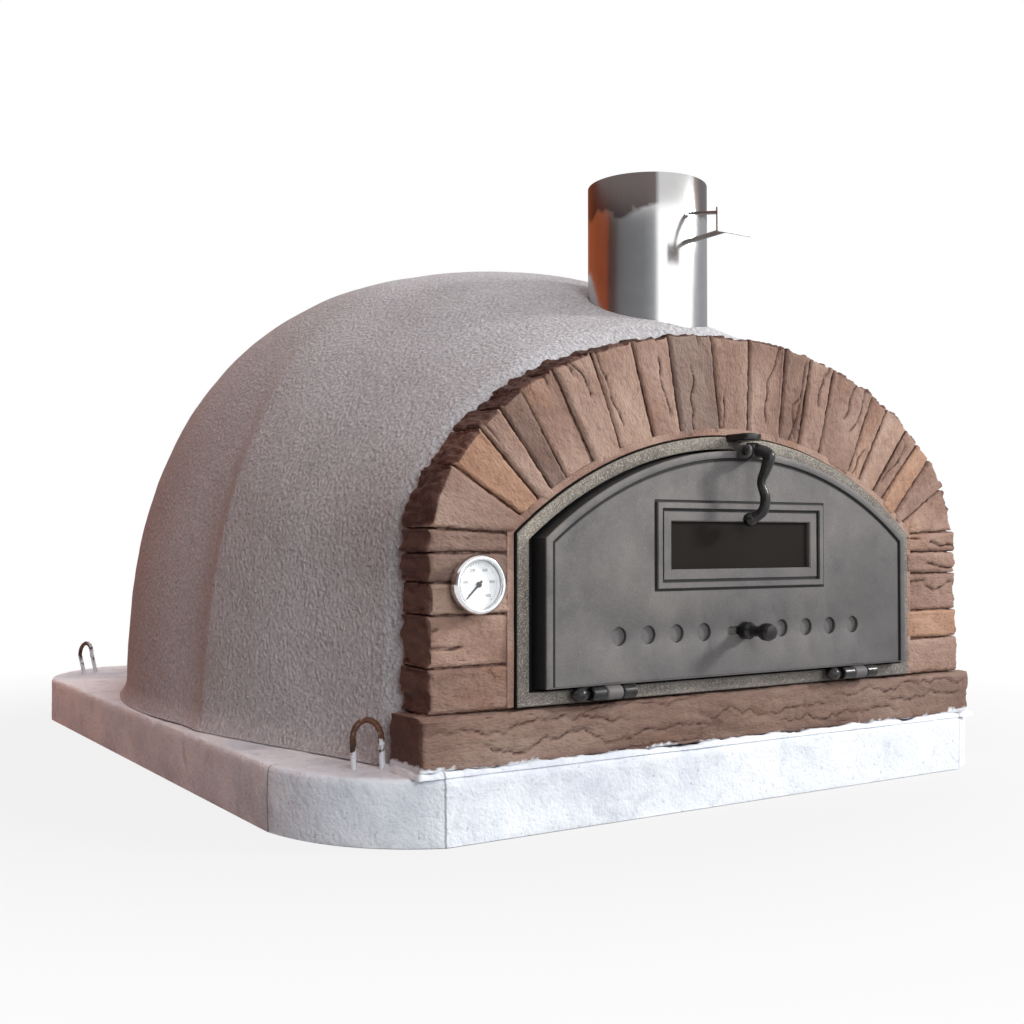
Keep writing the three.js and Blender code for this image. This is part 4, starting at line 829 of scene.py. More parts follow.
finish_piece(
    "sill_bead", outward(mesh_of_rings("sill_bead", foot_sections, caps=(True, True))), 60, "root",
    slab_plaster,
)


# Stone arch
# Thirty blocks of coloured cast stone: five courses on each side and twenty wedges over the door.
# They are set close; some are split, and their outer ends are left as broken. Painted shade darkens the
# joints, the splits and the outer ends.
arch_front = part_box("jamb_left_1")[0].y
arch_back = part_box("voussoir_1")[1].y
arch_centre_z = 0.2836
arch_half = 0.404
arch_rise = 0.257
stone_material_arch = stone_material("arch_stone", False)


def chance(seed, which):
    """An even random number for a block, 0 to 1."""
    return (math.sin(seed * 12.9898 + which * 78.233) * 43758.5453) % 1


def stone_faces(number, upright):
    """How one block is worked: rough outside, nearly flat in front, raked at the joints."""
    low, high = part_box(number)
    middle = (low + high) / 2
    hub = Vector((0, middle.y, middle.z)) if upright else Vector((0, middle.y, 0.10))
    length_way = (middle - hub).normalized()
    width_way = Vector((0, 1, 0)).cross(length_way)
    seed = sum(ord(c) * (i + 1) for i, c in enumerate(number)) * 0.137
    half_wide = 0.8 * max(abs((v.co - middle).dot(width_way)) for v in cad_nodes[number].data.vertices)
    half_long = max(abs((v.co - middle).dot(length_way)) for v in cad_nodes[number].data.vertices)
    cracks = []
    for which in range(int(chance(seed, 9) * 2.9)):
        spot = (chance(seed, 10 + which) - 0.5) * 1.3 * half_wide
        start = (chance(seed, 20 + which) * 2.4 - 1.4) * half_long
        cracks.append((spot, start, start + (0.9 + chance(seed, 30 + which)) * half_long, which * 3.1))
    set_back = chance(seed, 1) * 0.0022
    tilt_long = (chance(seed, 2) - 0.5) * 0.030
    tilt_wide = (chance(seed, 3) - 0.5) * 0.055

    def move(place, normal):
        local = place - middle
        along, across = local.dot(length_way), local.dot(width_way)
        layered = Vector((along * 0.34 + seed, across, place.y))
        front = max(0.0, -normal.y)
        outer = max(0.0, normal.dot(length_way))
        joint = abs(normal.dot(width_way))
        split, step = 0.0, 0.0
        for spot, start, end, phase in cracks:
            line = spot + waves((along, phase, 0), 0.042, 2, seed) * 0.0085
            run = max(0.0, min(1.0, min(along - start, end - along) / 0.010))
            split = max(split, max(0.0, 1 - abs(across - line) / 0.0027) * run * front)
            step += 0.0011 * front * run * (across > line)
        chisel = max(0.0, (ridge(place, 0.016, seed + 5) - 0.60) / 0.40) ** 2 * front
        rake = max(0.0, waves((along, 0, place.y * 0.3), 0.045, 2, seed + across * 40)) * 0.0013 * joint
        chip = max(0.0, waves(place, 0.015, 3, seed) - 0.05) * 0.0042 * (1 - max(front, outer, joint))
        skin = waves(place, 0.009, 4, seed) * 0.0007 + waves(layered, 0.045, 2, seed) * 0.0012 * front
        skin += 0.0011 * joint
        broken = (waves((place.x, place.y * 0.35, place.z), 0.018, 3, seed) - 0.25) * 0.0052 * outer
        lean = (set_back + tilt_long * along + tilt_wide * across) * front
        shift = (
            skin - 0.0003 - rake - chip + broken - step - split * 0.0034 - chisel * 0.0009
            - max(0.0, lean)
        )
        # Painted shade: the joint faces darken more than 2.2 mm behind the front
        joint_shade = max(0.0, place.y - arch_front - 0.0022) / 0.0045 * joint
        crease = min(1.0, max(split * 1.1, chisel * 0.10, joint_shade))
        # The outer end faces are marked for painted shade
        end_shade = max(0.0, min(1.0, (outer - 0.35) / 0.3))
        return normal * shift, crease, end_shade, Vector((along * 0.55 + seed, across, place.y))
    return move


stone_names = [f"jamb_left_{i}" for i in range(1, 6)]
stone_names += [f"voussoir_{i}" for i in range(1, 21)]
stone_names += [f"jamb_right_{i}" for i in range(1, 6)]
for count, node_name in enumerate(stone_names):
    mesh = worked_copy(node_name, 0.0021, 1)
    work_faces(mesh, stone_faces(node_name, node_name.startswith("jamb")))
    even_shade(mesh, chance(count, 4))
    finish_piece(
        node_name.replace("voussoir", "wedge_stone").replace("jamb", "course_stone"), mesh, 60, "root",
        stone_material_arch, (node_name,),
    )


# Door frame's outline, shared by the arch's bedding, the frame and the leaf
# The opening is a flat-bottomed arch: upright sides and one arc over the top. Every moulding of the
# door follows that outline at its own distance.
def arch_of(half_width, bottom, spring, apex):
    """The measures of a flat-bottomed arch with one arc over the top."""
    rise = apex - spring
    radius = (half_width ** 2 + rise ** 2) / (2 * rise)
    return {"half": half_width, "bottom": bottom, "radius": radius, "centre": apex - radius}


def arch_ring(arch, inset, y, bottom_inset=None, arc_steps=72, side_steps=6, base_steps=24):
    """Points round an arch outline at a distance inside it, as a closed ring at one depth."""
    half = arch["half"] - inset
    radius = arch["radius"] - inset
    low = arch["bottom"] + (inset if bottom_inset is None else bottom_inset)
    spring = arch["centre"] + math.sqrt(radius ** 2 - half ** 2)
    start = math.atan2(spring - arch["centre"], half)
    ring = [Vector((-half + 2 * half * k / base_steps, y, low)) for k in range(base_steps)]
    ring += [Vector((half, y, low + (spring - low) * k / side_steps)) for k in range(side_steps)]
    for k in range(arc_steps):
        angle = start + (math.pi - 2 * start) * k / arc_steps
        ring.append(Vector((radius * math.cos(angle), y, arch["centre"] + radius * math.sin(angle))))
    ring += [Vector((-half, y, spring + (low - spring) * k / side_steps)) for k in range(side_steps)]
    return ring


frame_front = arch_front - 0.004
frame_back = frame_front + 0.050
sill_top = 0.1296
frame_arch = arch_of(0.300, sill_top, sill_top + 0.179, sill_top + 0.291)

# Bedding behind the blocks and the thin rim of the same stone against the frame
bedding_front = arch_front + 0.0065
rim_front = arch_front + 0.0002


def outer_ring(inset, y, like):
    """The arch's outside, an ellipse on upright legs, with as many points as the inner ring."""
    ring = []
    for p in like:
        if p.z > arch_centre_z:
            angle = math.atan2((p.z - arch_centre_z) / (arch_rise - inset), p.x / (arch_half - inset))
            ring.append(
                Vector(
                    (
                        (arch_half - inset) * math.cos(angle), y,
                        arch_centre_z + (arch_rise - inset) * math.sin(angle),
                    )
                )
            )
        elif abs(p.x) < frame_arch["half"]:
            ring.append(Vector((p.x, y, p.z)))
        else:
            ring.append(Vector((math.copysign(arch_half - inset, p.x), y, p.z)))
    return ring


def open_ring(ring, base_steps=24):
    """The ring from its lower right corner round to its lower left, without the base."""
    return ring[base_steps:] + [ring[0].copy()]


def bedding_mesh():
    """The bedding behind the arch's blocks."""
    inner = open_ring(arch_ring(frame_arch, -0.0016, bedding_front))
    outer = outer_ring(0.012, bedding_front, inner)
    depth = Vector((0, arch_back - 0.001 - bedding_front, 0))
    rings = [inner, outer, [p + depth for p in outer], [p + depth for p in inner]]
    across = [[ring[k] for ring in rings] for k in range(len(inner))]
    return outward(mesh_of_rings("bedding", across, caps=(True, True)))


def rim_mesh():
    """The thin rim of stone against the door frame."""
    wide = 0.0095
    profile = [(-0.0012, 0.020), (-0.0012, 0.0012), (-0.0022, 0.0), (-wide, 0.0004), (-wide - 0.001, 0.020)]
    rings = []
    for inset, depth in profile:
        rings.append(open_ring(arch_ring(frame_arch, inset, rim_front + depth)))
    for ring in rings:
        ring[0].z = ring[-1].z = sill_top + 0.0006
    across = [[ring[k] for ring in rings] for k in range(len(rings[0]))]
    for section in across:
        for p in section:
            p.y += waves(p, 0.03, 3, 5.0) * 0.0006
    return outward(mesh_of_rings("rim", across, caps=(True, True)))


# The bedding's mark of 0.8 darkens it as painted shade where it shows in the joints; the rim's mark is 0
for name, mesh, shade_mark in (("arch_bedding", bedding_mesh(), 0.8), ("arch_rim", rim_mesh(), 0.0)):
    work_faces(mesh, lambda place, normal: (Vector(), shade_mark, 0.0, place.copy()))
    even_shade(mesh, 0.7)
    finish_piece(name, mesh, 40, "root", stone_material_arch)


# Plastered dome
# A shell of stucco over the insulation, dome and neck in one, floated by hand. It flares on to the
# slab at its foot and runs out behind the stone arch. The flue comes up through it.
dome_low, dome_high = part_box("plaster_dome")
dome_half = (0.495, 0.615)
dome_centre_y = -0.013
dome_height = 0.631
dome_full = 2.4
foot_flare, foot_height = 0.009, 0.026
neck_half = 0.394
neck_rise = 0.247
neck_end = -0.2987
blend_width, blend_front_share, blend_run = 0.190, 0.65, 0.020
shell_wall = 0.022
base_z = dome_low.z
front_y = dome_low.y


def plaster_field(x, y, z):
    """Negative inside the plaster's outer face, in metres, for arrays of places."""
    height = z - base_z
    flare = foot_flare * np.maximum(0, 1 - height / foot_height) ** 2
    plan = np.hypot(x / (dome_half[0] + flare), (y - dome_centre_y) / (dome_half[1] + flare))
    gauge = (plan ** dome_full + np.maximum(0, height / dome_height) ** dome_full) ** (1 / dome_full)
    dome = np.sqrt(x ** 2 + (y - dome_centre_y) ** 2 + height ** 2) * (1 - 1 / np.maximum(gauge, 1e-6))
    over = z - arch_centre_z
    low = np.abs(x) - neck_half - flare
    rim = np.hypot(x / neck_half, over / neck_rise)
    high = np.hypot(x, over) * (1 - 1 / np.maximum(rim, 1e-6))
    neck = np.maximum(np.where(over > 0, high, low), y - neck_end)
    run = np.minimum(1, (y - front_y) / blend_run)
    width = blend_width * (blend_front_share + (1 - blend_front_share) * run)
    near = np.maximum(width - np.abs(dome - neck), 0) / width
    return np.minimum(dome, neck) - near ** 2 * width / 4


def plaster_sheet(offset, sections, rays):
    """Places on the face that lies offset inside the outside, by halving along rays."""
    back = dome_high.y - offset - 0.0005
    share = np.linspace(0, 1, sections)
    y = front_y + (back - front_y) * np.sin(share * math.pi / 2)
    turn = np.linspace(0, 1, rays)
    angle = math.pi * (turn - 0.11 * np.sin(2 * math.pi * turn))
    yy, aa = np.meshgrid(y, angle, indexing="ij")
    inside, outside = np.zeros_like(yy), np.full_like(yy, 1.0)
    for _ in range(32):
        middle = (inside + outside) / 2
        value = plaster_field(middle * np.cos(aa), yy, base_z + middle * np.sin(aa)) + offset
        inside = np.where(value < 0, middle, inside)
        outside = np.where(value < 0, outside, middle)
    return np.stack([inside * np.cos(aa), yy, base_z + inside * np.sin(aa)], axis=-1)


def plaster_mesh():
    """The plaster shell, dome and neck in one."""
    sections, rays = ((200, 220))
    outer = plaster_sheet(0.0, sections, rays)
    inner = plaster_sheet(shell_wall, 60, rays)
    points, faces = [], []
    for sheet in (outer, inner):
        start = len(points)
        rows = len(sheet)
        points += [tuple(p) for p in sheet.reshape(-1, 3)]
        for i in range(rows - 1):
            for j in range(rays - 1):
                a = start + i * rays + j
                faces.append((a, a + 1, a + rays + 1, a + rays))
        last = start + (rows - 1) * rays
        points.append((0, sheet[-1, 0, 1] + 0.0004, base_z))
        faces += [(last + j, last + j + 1, len(points) - 1) for j in range(rays - 1)]
    inner_start = sections * rays + 1
    for j in range(rays - 1):
        faces.append((j, inner_start + j, inner_start + j + 1, j + 1))
    for edge in (0, rays - 1):
        outer_line = [i * rays + edge for i in range(sections)] + [sections * rays]
        inner_line = [inner_start + i * rays + edge for i in range(60)] + [inner_start + 60 * rays]
        faces.append(tuple(outer_line + inner_line[::-1]))
    mesh = bpy.data.meshes.new("plaster")
    mesh.from_pydata(points, [], faces)
    return outward(mesh)


flue_radius = 0.075


x_way, y_way, z_way = Vector((1, 0, 0)), Vector((0, 1, 0)), Vector((0, 0, 1))


def circle(centre, radius, sides, first=x_way, second=y_way):
    """Points round a circle in the plane of two directions."""
    turns = [2 * math.pi * k / sides for k in range(sides)]
    return [centre + first * (radius * math.cos(t)) + second * (radius * math.sin(t)) for t in turns]


def with_flue_hole(mesh):
    """Bores the flue's hole, a hair wider than the pipe."""
    drill_rings = [circle(flue_centre + z_way * z, flue_radius + 0.0006, 96) for z in (0.36, 0.80)]
    drill = linked("drill", outward(mesh_of_rings("drill", drill_rings, caps=(True, True))))
    whole = linked("working", mesh)
    bore = whole.modifiers.new("bore", "BOOLEAN")
    bore.operation = "DIFFERENCE"
    bore.solver = "EXACT"
    bore.object = drill
    finished = bpy.data.meshes.new_from_object(whole.evaluated_get(bpy.context.evaluated_depsgraph_get()))
    bpy.data.objects.remove(whole)
    bpy.data.objects.remove(drill)
    return finished


plaster = with_flue_hole(plaster_mesh())
for vertex in plaster.vertices:
    p = vertex.co
    if p.y > front_y + 0.004 and p.z > base_z + 0.002:
        near_flue = max(0.0, 1 - abs((p - flue_centre).to_2d().length - flue_radius) / 0.02)
        lift = waves(p, 0.22, 2, 1.0) * 0.0016 + waves(p, 0.05, 3, 3.0) * 0.0007 - 0.0012
        vertex.co = p + vertex.normal * lift * (1 - near_flue)

dome_stucco, tree, place, grain = new_material("dome_stucco", 260.0, 4.0)
floated = add(tree, "ShaderNodeTexNoise", {"Vector": place, "Scale": 210.0, "Detail": 4.0, "Roughness": 0.6})
stucco = ramp(
    tree, grain["Patches"],
    (0.32, tone(178, 176, 179)), (0.5, tone(190, 189, 192)), (0.68, tone(200, 200, 204)),
)
white_grit = fade(tree, floated.outputs["Fac"], 0.52, 0.66)
stucco = mixed(tree, maths(tree, "MULTIPLY", white_grit, 0.55), stucco, tone(226, 226, 230))
dark_grit = fade(tree, floated.outputs["Fac"], 0.34, 0.48, 1, 0)
stucco = mixed(tree, maths(tree, "MULTIPLY", dark_grit, 0.45), stucco, tone(138, 136, 140))
stucco_height = maths(tree, "MULTIPLY", floated.outputs["Fac"], 2.4)
stucco_height = maths(tree, "MULTIPLY_ADD", grain["Height"], 0.7, stucco_height)
stucco_rough = fade(tree, grain["Specks"], 0.3, 0.7, 0.82, 0.97)
surface(tree, stucco, stucco_rough, stucco_height, 0.0018, 1.0, Specular_IOR_Level=0.25)

finish_piece("dome_plaster", plaster, 40, "root", dome_stucco, ("plaster_dome",))


# Fire chamber, vault and hearth
# Fire bricks laid in courses, blackened over the door and by the flames, on a floor of bigger tiles.
# Loose vermiculite fills the space between the bricks and the plaster.
def brick_material(name, brick, mortar, width, height, plan):
    """Bricks in courses; plan lays them flat as floor tiles."""
    material, tree, place, grain = new_material(name, 500.0, 7.0)
    axes = add(tree, "ShaderNodeSeparateXYZ", {"Vector": place})
    around = maths(tree, "MULTIPLY", maths(tree, "ARCTAN2", axes.outputs["X"], axes.outputs["Y"]), 0.40)
    laid = add(
        tree,
        "ShaderNodeCombineXYZ",
        {
            "X": axes.outputs["X"] if plan else around,
            "Y": axes.outputs["Y"] if plan else axes.outputs["Z"],
        },
    )
    courses = add(
        tree,
        "ShaderNodeTexBrick",
        {
            "Vector": laid.outputs[0], "Color1": brick,
            "Color2": tuple(c * 0.78 for c in brick[:3]) + (1,), "Mortar": mortar, "Scale": 1.0,
            "Mortar Size": 0.0028, "Mortar Smooth": 0.2, "Brick Width": width, "Row Height": height,
        },
    )
    soot_and_shade = fade(tree, grain["Patches"], 0.36, 0.62)
    colour = mixed(tree, maths(tree, "MULTIPLY", soot_and_shade, 0.75), courses.outputs["Color"], tone(44, 38, 35))
    relief = maths(
        tree, "SUBTRACT", maths(tree, "MULTIPLY", grain["Height"], 0.3),
        maths(tree, "MULTIPLY", courses.outputs["Fac"], 1.4),
    )
    surface(
        tree, colour, fade(tree, grain["Specks"], 0.2, 0.8, 0.8, 1), relief, 0.002, 0.8,
        Specular_IOR_Level=0.2,
    )
    return material


def dress(node_name, material):
    """A solid that keeps its own form gets its finish."""
    node = cad_nodes[node_name]
    node.data.materials.clear()
    node.data.materials.append(material)


chamber_brick = brick_material("chamber_brick", tone(178, 132, 100), tone(120, 108, 98), 0.20, 0.062, False)
floor_tile = brick_material("floor_tile", tone(196, 158, 122), tone(110, 98, 88), 0.30, 0.20, True)
dress("refractory_dome", chamber_brick)
dress("entrance_vault", chamber_brick)
dress("hearth_floor", floor_tile)

vermiculite, tree, place, grain = new_material("vermiculite", 240.0, 40.0)
flakes = ramp(
    tree, grain["Specks"], (0.3, tone(120, 104, 76)), (0.5, tone(184, 166, 128)),
    (0.7, tone(214, 202, 170)),
)
surface(tree, flakes, fade(tree, grain["Patches"], 0.2, 0.8, 0.8, 1), grain["Height"], 0.003, 1.0)
dress("insulation_fill", vermiculite)
dress("hearth_bed", vermiculite)


# Door frame
# A sand-cast iron ring with an inner lip for the leaf to shut on, lugs with knuckles for the hinges
# and a keeper plate for the latch. Its bare face has a coarse casting skin.
def cast_iron(name, dark, middle, light, rough, sheen, grit, glint, right_low_share):
    """Sand-cast iron: mottled, pitted, with bright grains where its skin is rubbed, darker towards the right
    and the bottom, and nearly black as painted shade where its points are marked as creases.
    """
    material, tree, place, grain = new_material(name, grit, 14.0)
    cloud = add(
        tree, "ShaderNodeTexNoise", {"Vector": place, "Scale": 45.0, "Detail": 8.0, "Roughness": 0.65}
    )
    skin = ramp(tree, grain["Patches"], (0.32, dark), (0.5, middle), (0.68, light))
    skin = mixed(tree, fade(tree, cloud.outputs["Fac"], 0.42, 0.62, 0, 0.35), skin, light)
    grains = add(tree, "ShaderNodeTexNoise", {"Vector": place, "Scale": grit * 0.5, "Detail": 2.0})
    bright = ramp(tree, grains.outputs["Fac"], (0.54, (0, 0, 0, 1)), (0.66, (glint, glint, glint, 1)))
    skin = mixed(tree, bright, skin, tone(216, 208, 190))
    dull = ramp(tree, grains.outputs["Fac"], (0.34, (glint, glint, glint, 1)), (0.46, (0, 0, 0, 1)))
    skin = mixed(tree, dull, skin, tone(40, 38, 34))
    # Darker towards the right and the bottom, by the given share
    axes = add(tree, "ShaderNodeSeparateXYZ", {"Vector": place})
    right_low_darkening = maths(tree, "MULTIPLY_ADD", axes.outputs["X"], 1.3, 0.35)
    right_low_darkening = maths(tree, "MULTIPLY_ADD", maths(tree, "SUBTRACT", 0.28, axes.outputs["Z"]), 3.2, right_low_darkening)
    right_low_darkening = maths(
        tree, "MULTIPLY_ADD", maths(tree, "SUBTRACT", cloud.outputs["Fac"], 0.5), 0.8, right_low_darkening, clamp=True
    )
    skin = mixed(tree, maths(tree, "MULTIPLY", right_low_darkening, right_low_share), skin, tone(62, 59, 64))
    # Painted shade: nearly black where points are marked as creases, in grooves, recesses and side walls
    crease = add(tree, "ShaderNodeAttribute", attribute_name="crease")
    skin = mixed(tree, crease.outputs["Fac"], skin, tone(14, 14, 15))
    relief = maths(tree, "MULTIPLY_ADD", grain["Height"], 0.5, cloud.outputs["Fac"])
    iron_rough = maths(tree, "MULTIPLY_ADD", grain["Specks"], 0.3, rough)
    surface(tree, skin, iron_rough, relief, 0.0006, 0.8, Metallic=sheen, Specular_IOR_Level=0.4)
    return material


frame_iron = cast_iron(
    "frame_iron", tone(86, 82, 76), tone(116, 110, 104), tone(150, 143, 132), 0.50, 0.1, 1300.0, 0.45, 0.35
)
door_iron = cast_iron(
    "door_iron", tone(82, 80, 81), tone(101, 98, 98), tone(116, 113, 110), 0.45, 0.1, 700.0, 0.03, 0.5
)
black_iron, tree, place, grain = new_material("black_iron", 800.0, 90.0)
gloss_black = ramp(tree, grain["Patches"], (0.4, tone(20, 19, 20)), (0.7, tone(44, 42, 42)))
surface(
    tree, gloss_black, maths(tree, "MULTIPLY_ADD", grain["Patches"], 0.3, 0.14), grain["Patches"], 0.0006,
    0.5, Metallic=0.3,
)


def with_bevel(mesh, width, segments=2, degrees=30):
    """Breaks a mesh's sharp edges."""
    raw = linked("working", mesh)
    edge = raw.modifiers.new("edge", "BEVEL")
    edge.width = width
    edge.segments = segments
    edge.limit_method = "ANGLE"
    edge.angle_limit = math.radians(degrees)
    finished = bpy.data.meshes.new_from_object(raw.evaluated_get(bpy.context.evaluated_depsgraph_get()))
    bpy.data.objects.remove(raw)
    return finished


def cuboid(low, high, edge=0.0008):
    (x0, y0, z0), (x1, y1, z1) = low, high
    rings = [
        [Vector((x0, y0, z)), Vector((x1, y0, z)), Vector((x1, y1, z)), Vector((x0, y1, z))]
        for z in (z0, z1)
    ]
    return with_bevel(outward(mesh_of_rings("cuboid", rings, caps=(True, True))), edge)


def turned(profile, centre, axis, sides=40):
    """A turned form: [radius, place along the axis] pairs, spun round an axis through the centre."""
    along, first, second = {
        "x": (x_way, y_way, z_way), "y": (y_way, z_way, x_way), "z": (z_way, x_way, y_way),
    }[axis]
    rings = [
        circle(Vector(centre) + along * place, radius, sides, first, second) for radius, place in profile
    ]
    return outward(mesh_of_rings("turned", rings, caps=(True, True)))


def joined(name, meshes):
    """Several closed forms as one mesh."""
    whole = bmesh.new()
    for mesh in meshes:
        whole.from_mesh(mesh)
    mesh = bpy.data.meshes.new(name)
    whole.to_mesh(mesh)
    whole.free()
    return mesh


leaf_front = frame_front - 0.014
leaf_back = leaf_front + 0.025
leaf_arch = arch_of(0.275, sill_top + 0.0184, 0.3036, 0.4036)
hinge_y, hinge_z = leaf_front, 0.140
hinge_places = (-0.189, 0.189)
knuckle_radius = 0.0075
leaf_knuckle, frame_knuckle, knuckle_gap = 0.021, 0.018, 0.0006
lip_front = leaf_back + 0.0015
keeper_low = 0.4148
keeper_front = frame_front - 0.035


def frame_ring_mesh():
    """The door frame's ring."""
    profile = [
        (0, frame_back), (0, frame_front + 0.0022), (0.0004, frame_front + 0.0009),
        (0.0014, frame_front + 0.0001), (0.003, frame_front), (0.0125, frame_front),
        (0.0142, frame_front + 0.0006), (0.015, frame_front + 0.002), (0.015, lip_front - 0.0008),
        (0.0158, lip_front), (0.0362, lip_front), (0.037, lip_front + 0.0008),
        (0.037, lip_front + 0.0072), (0.0362, lip_front + 0.008), (0.015, lip_front + 0.008),
        (0.015, frame_back),
    ]
    rings = [arch_ring(frame_arch, inset, y, min(inset, 0.015)) for inset, y in profile]
    return outward(mesh_of_rings("frame_ring", rings, loop=True))


def knuckle_mesh(x0, x1):
    """One hinge knuckle between two places along X."""
    round_end = 0.0012
    profile = [
        (0.0001, x0), (knuckle_radius - round_end, x0), (knuckle_radius, x0 + round_end),
        (knuckle_radius, x1 - round_end), (knuckle_radius - round_end, x1), (0.0001, x1),
    ]
    return turned(profile, (0, hinge_y, hinge_z), "x", 32)


def keeper_mesh():
    """The latch's keeper plate."""
    half = 0.013
    outline = [(-half, frame_front + 0.0005), (-half, keeper_front + half / 2)]
    outline += [
        (
            half * -math.cos(math.pi * k / 16),
            keeper_front + half / 2 - half / 2 * math.sin(math.pi * k / 16),
        )
        for k in range(1, 16)
    ]
    outline += [(half, keeper_front + half / 2), (half, frame_front + 0.0005)]
    rings = [[Vector((x, y, z)) for x, y in outline] for z in (keeper_low, keeper_low + 0.008)]
    return with_bevel(outward(mesh_of_rings("keeper", rings, caps=(True, True))), 0.0012, 3)


def shaded_behind(mesh, depth, end=1.0):
    """Marks what lies behind a plane for painted shade."""
    soot_and_shade = mesh.attributes.get("crease") or mesh.attributes.new("crease", "FLOAT", "POINT")
    for vertex in mesh.vertices:
        if vertex.co.y > depth:
            soot_and_shade.data[vertex.index].value = end
    return mesh


hinge_parts = []
for centre_x in hinge_places:
    for x0 in (
        centre_x - leaf_knuckle / 2 - knuckle_gap - frame_knuckle,
        centre_x + leaf_knuckle / 2 + knuckle_gap,
    ):
        hinge_parts.append(knuckle_mesh(x0, x0 + frame_knuckle))
        hinge_parts.append(
            cuboid(
                (x0, leaf_front, hinge_z - knuckle_radius),
                (x0 + frame_knuckle, frame_front + 0.004, hinge_z - 0.0006),
            )
        )
# The frame's inner walls and lip, behind its face, go nearly black as painted shade
finish_piece(
    "door_surround", shaded_behind(frame_ring_mesh(), frame_front + 0.0015), 32, "root",
    frame_iron, ("door_frame",),
)
finish_piece(
    "frame_knuckles", joined("frame_knuckles", hinge_parts), 32, "root", black_iron,
    ("door_frame",),
)
finish_piece("latch_keeper", keeper_mesh(), 32, "root", black_iron, ("door_frame",))


# Hinge pins
# Two steel pins through the knuckles, each with a turned, pointed finial at the left and a riveted
# head at the right.
finial_length, finial_radius, pin_radius = 0.025, 0.008, 0.003
for name, centre_x in (("left", hinge_places[0]), ("right", hinge_places[1])):
    left = centre_x - leaf_knuckle / 2 - knuckle_gap - frame_knuckle
    right = centre_x + leaf_knuckle / 2 + knuckle_gap + frame_knuckle
    profile = [(0.0001, left - finial_length)]
    for k in range(1, 15):
        t = k / 14
        bulb = math.sin(math.pi * (0.06 + 0.86 * t ** 0.8))
        profile.append(
            (
                finial_radius * (0.18 + 0.82 * bulb) * (0.62 + 0.38 * math.sin(math.pi * t)),
                left - finial_length * (1 - t),
            )
        )
    profile += [
        (finial_radius * 0.62, left - 0.0004), (pin_radius, left - 0.0003), (pin_radius, right + 0.0003),
        (0.005, right + 0.0003), (0.0048, right + 0.0016), (0.003, right + 0.0028),
        (0.0001, right + 0.0028),
    ]
    finish_piece(
        "hinge_rod_" + name, turned(profile, (0, hinge_y, hinge_z), "x", 36), 40, "root",
        black_iron, ("hinge_pin_" + name,),
    )


# Door leaf
# A cast iron tray: a raised strip follows its edge, a rib frames the window, and eight air holes and
# the knob's slot run along its lower part. Lugs carry the hinges and the latch.
strip_width, strip_pride = 0.0085, 0.0020
leaf_wall = 0.006
pocket_y = leaf_front + leaf_wall
window_half = Vector((0.107, 0.0265))
window_centre_z = 0.2955
rib_margin = 0.024
air_z = 0.1985
air_radius = 0.010
air_places = [side * (0.060 + 0.040 * k) for k in range(4) for side in (-1, 1)]
slot_radius, slot_travel = 0.0045, 0.020


def ring_faces(shell, rings, shade_layer, marks):
    """Adds quads between rings of points to a shell and marks the points for painted shade."""
    rows = []
    for ring, shade_mark in zip(rings, marks):
        row = [shell.verts.new(p) for p in ring]
        for vertex in row:
            vertex[shade_layer] = shade_mark
        rows.append(row)
    for a, b in zip(rows, rows[1:]):
        for j in range(len(a)):
            k = (j + 1) % len(a)
            shell.faces.new((a[j], a[k], b[k], b[j]))
    return rows


def fill_between(shell, loops):
    """A flat face with holes between closed rows of points."""
    edges = []
    for row in loops:
        for j in range(len(row)):
            pair = (row[j], row[(j + 1) % len(row)])
            edges.append(shell.edges.get(pair) or shell.edges.new(pair))
    bmesh.ops.triangle_fill(shell, use_beauty=True, edges=edges)


def box_ring(half_x, half_z, y, steps=8):
    """Points round an upright rectangle about the window's centre."""
    corners = [(-half_x, -half_z), (half_x, -half_z), (half_x, half_z), (-half_x, half_z)]
    ring = []
    for (x0, z0), (x1, z1) in zip(corners, corners[1:] + corners[:1]):
        ring += [
            Vector((x0 + (x1 - x0) * k / steps, y, window_centre_z + z0 + (z1 - z0) * k / steps))
            for k in range(steps)
        ]
    return ring


def hole_ring(x, radius, y, reach=0.0, sides=36):
    """Points round an air hole, or round a slot that reaches to the left."""
    ring = []
    for k in range(sides):
        angle = 2 * math.pi * (k + 0.5) / sides
        shift = -reach if math.cos(angle) < 0 else 0
        ring.append(Vector((x + shift + radius * math.cos(angle), y, air_z + radius * math.sin(angle))))
    return ring


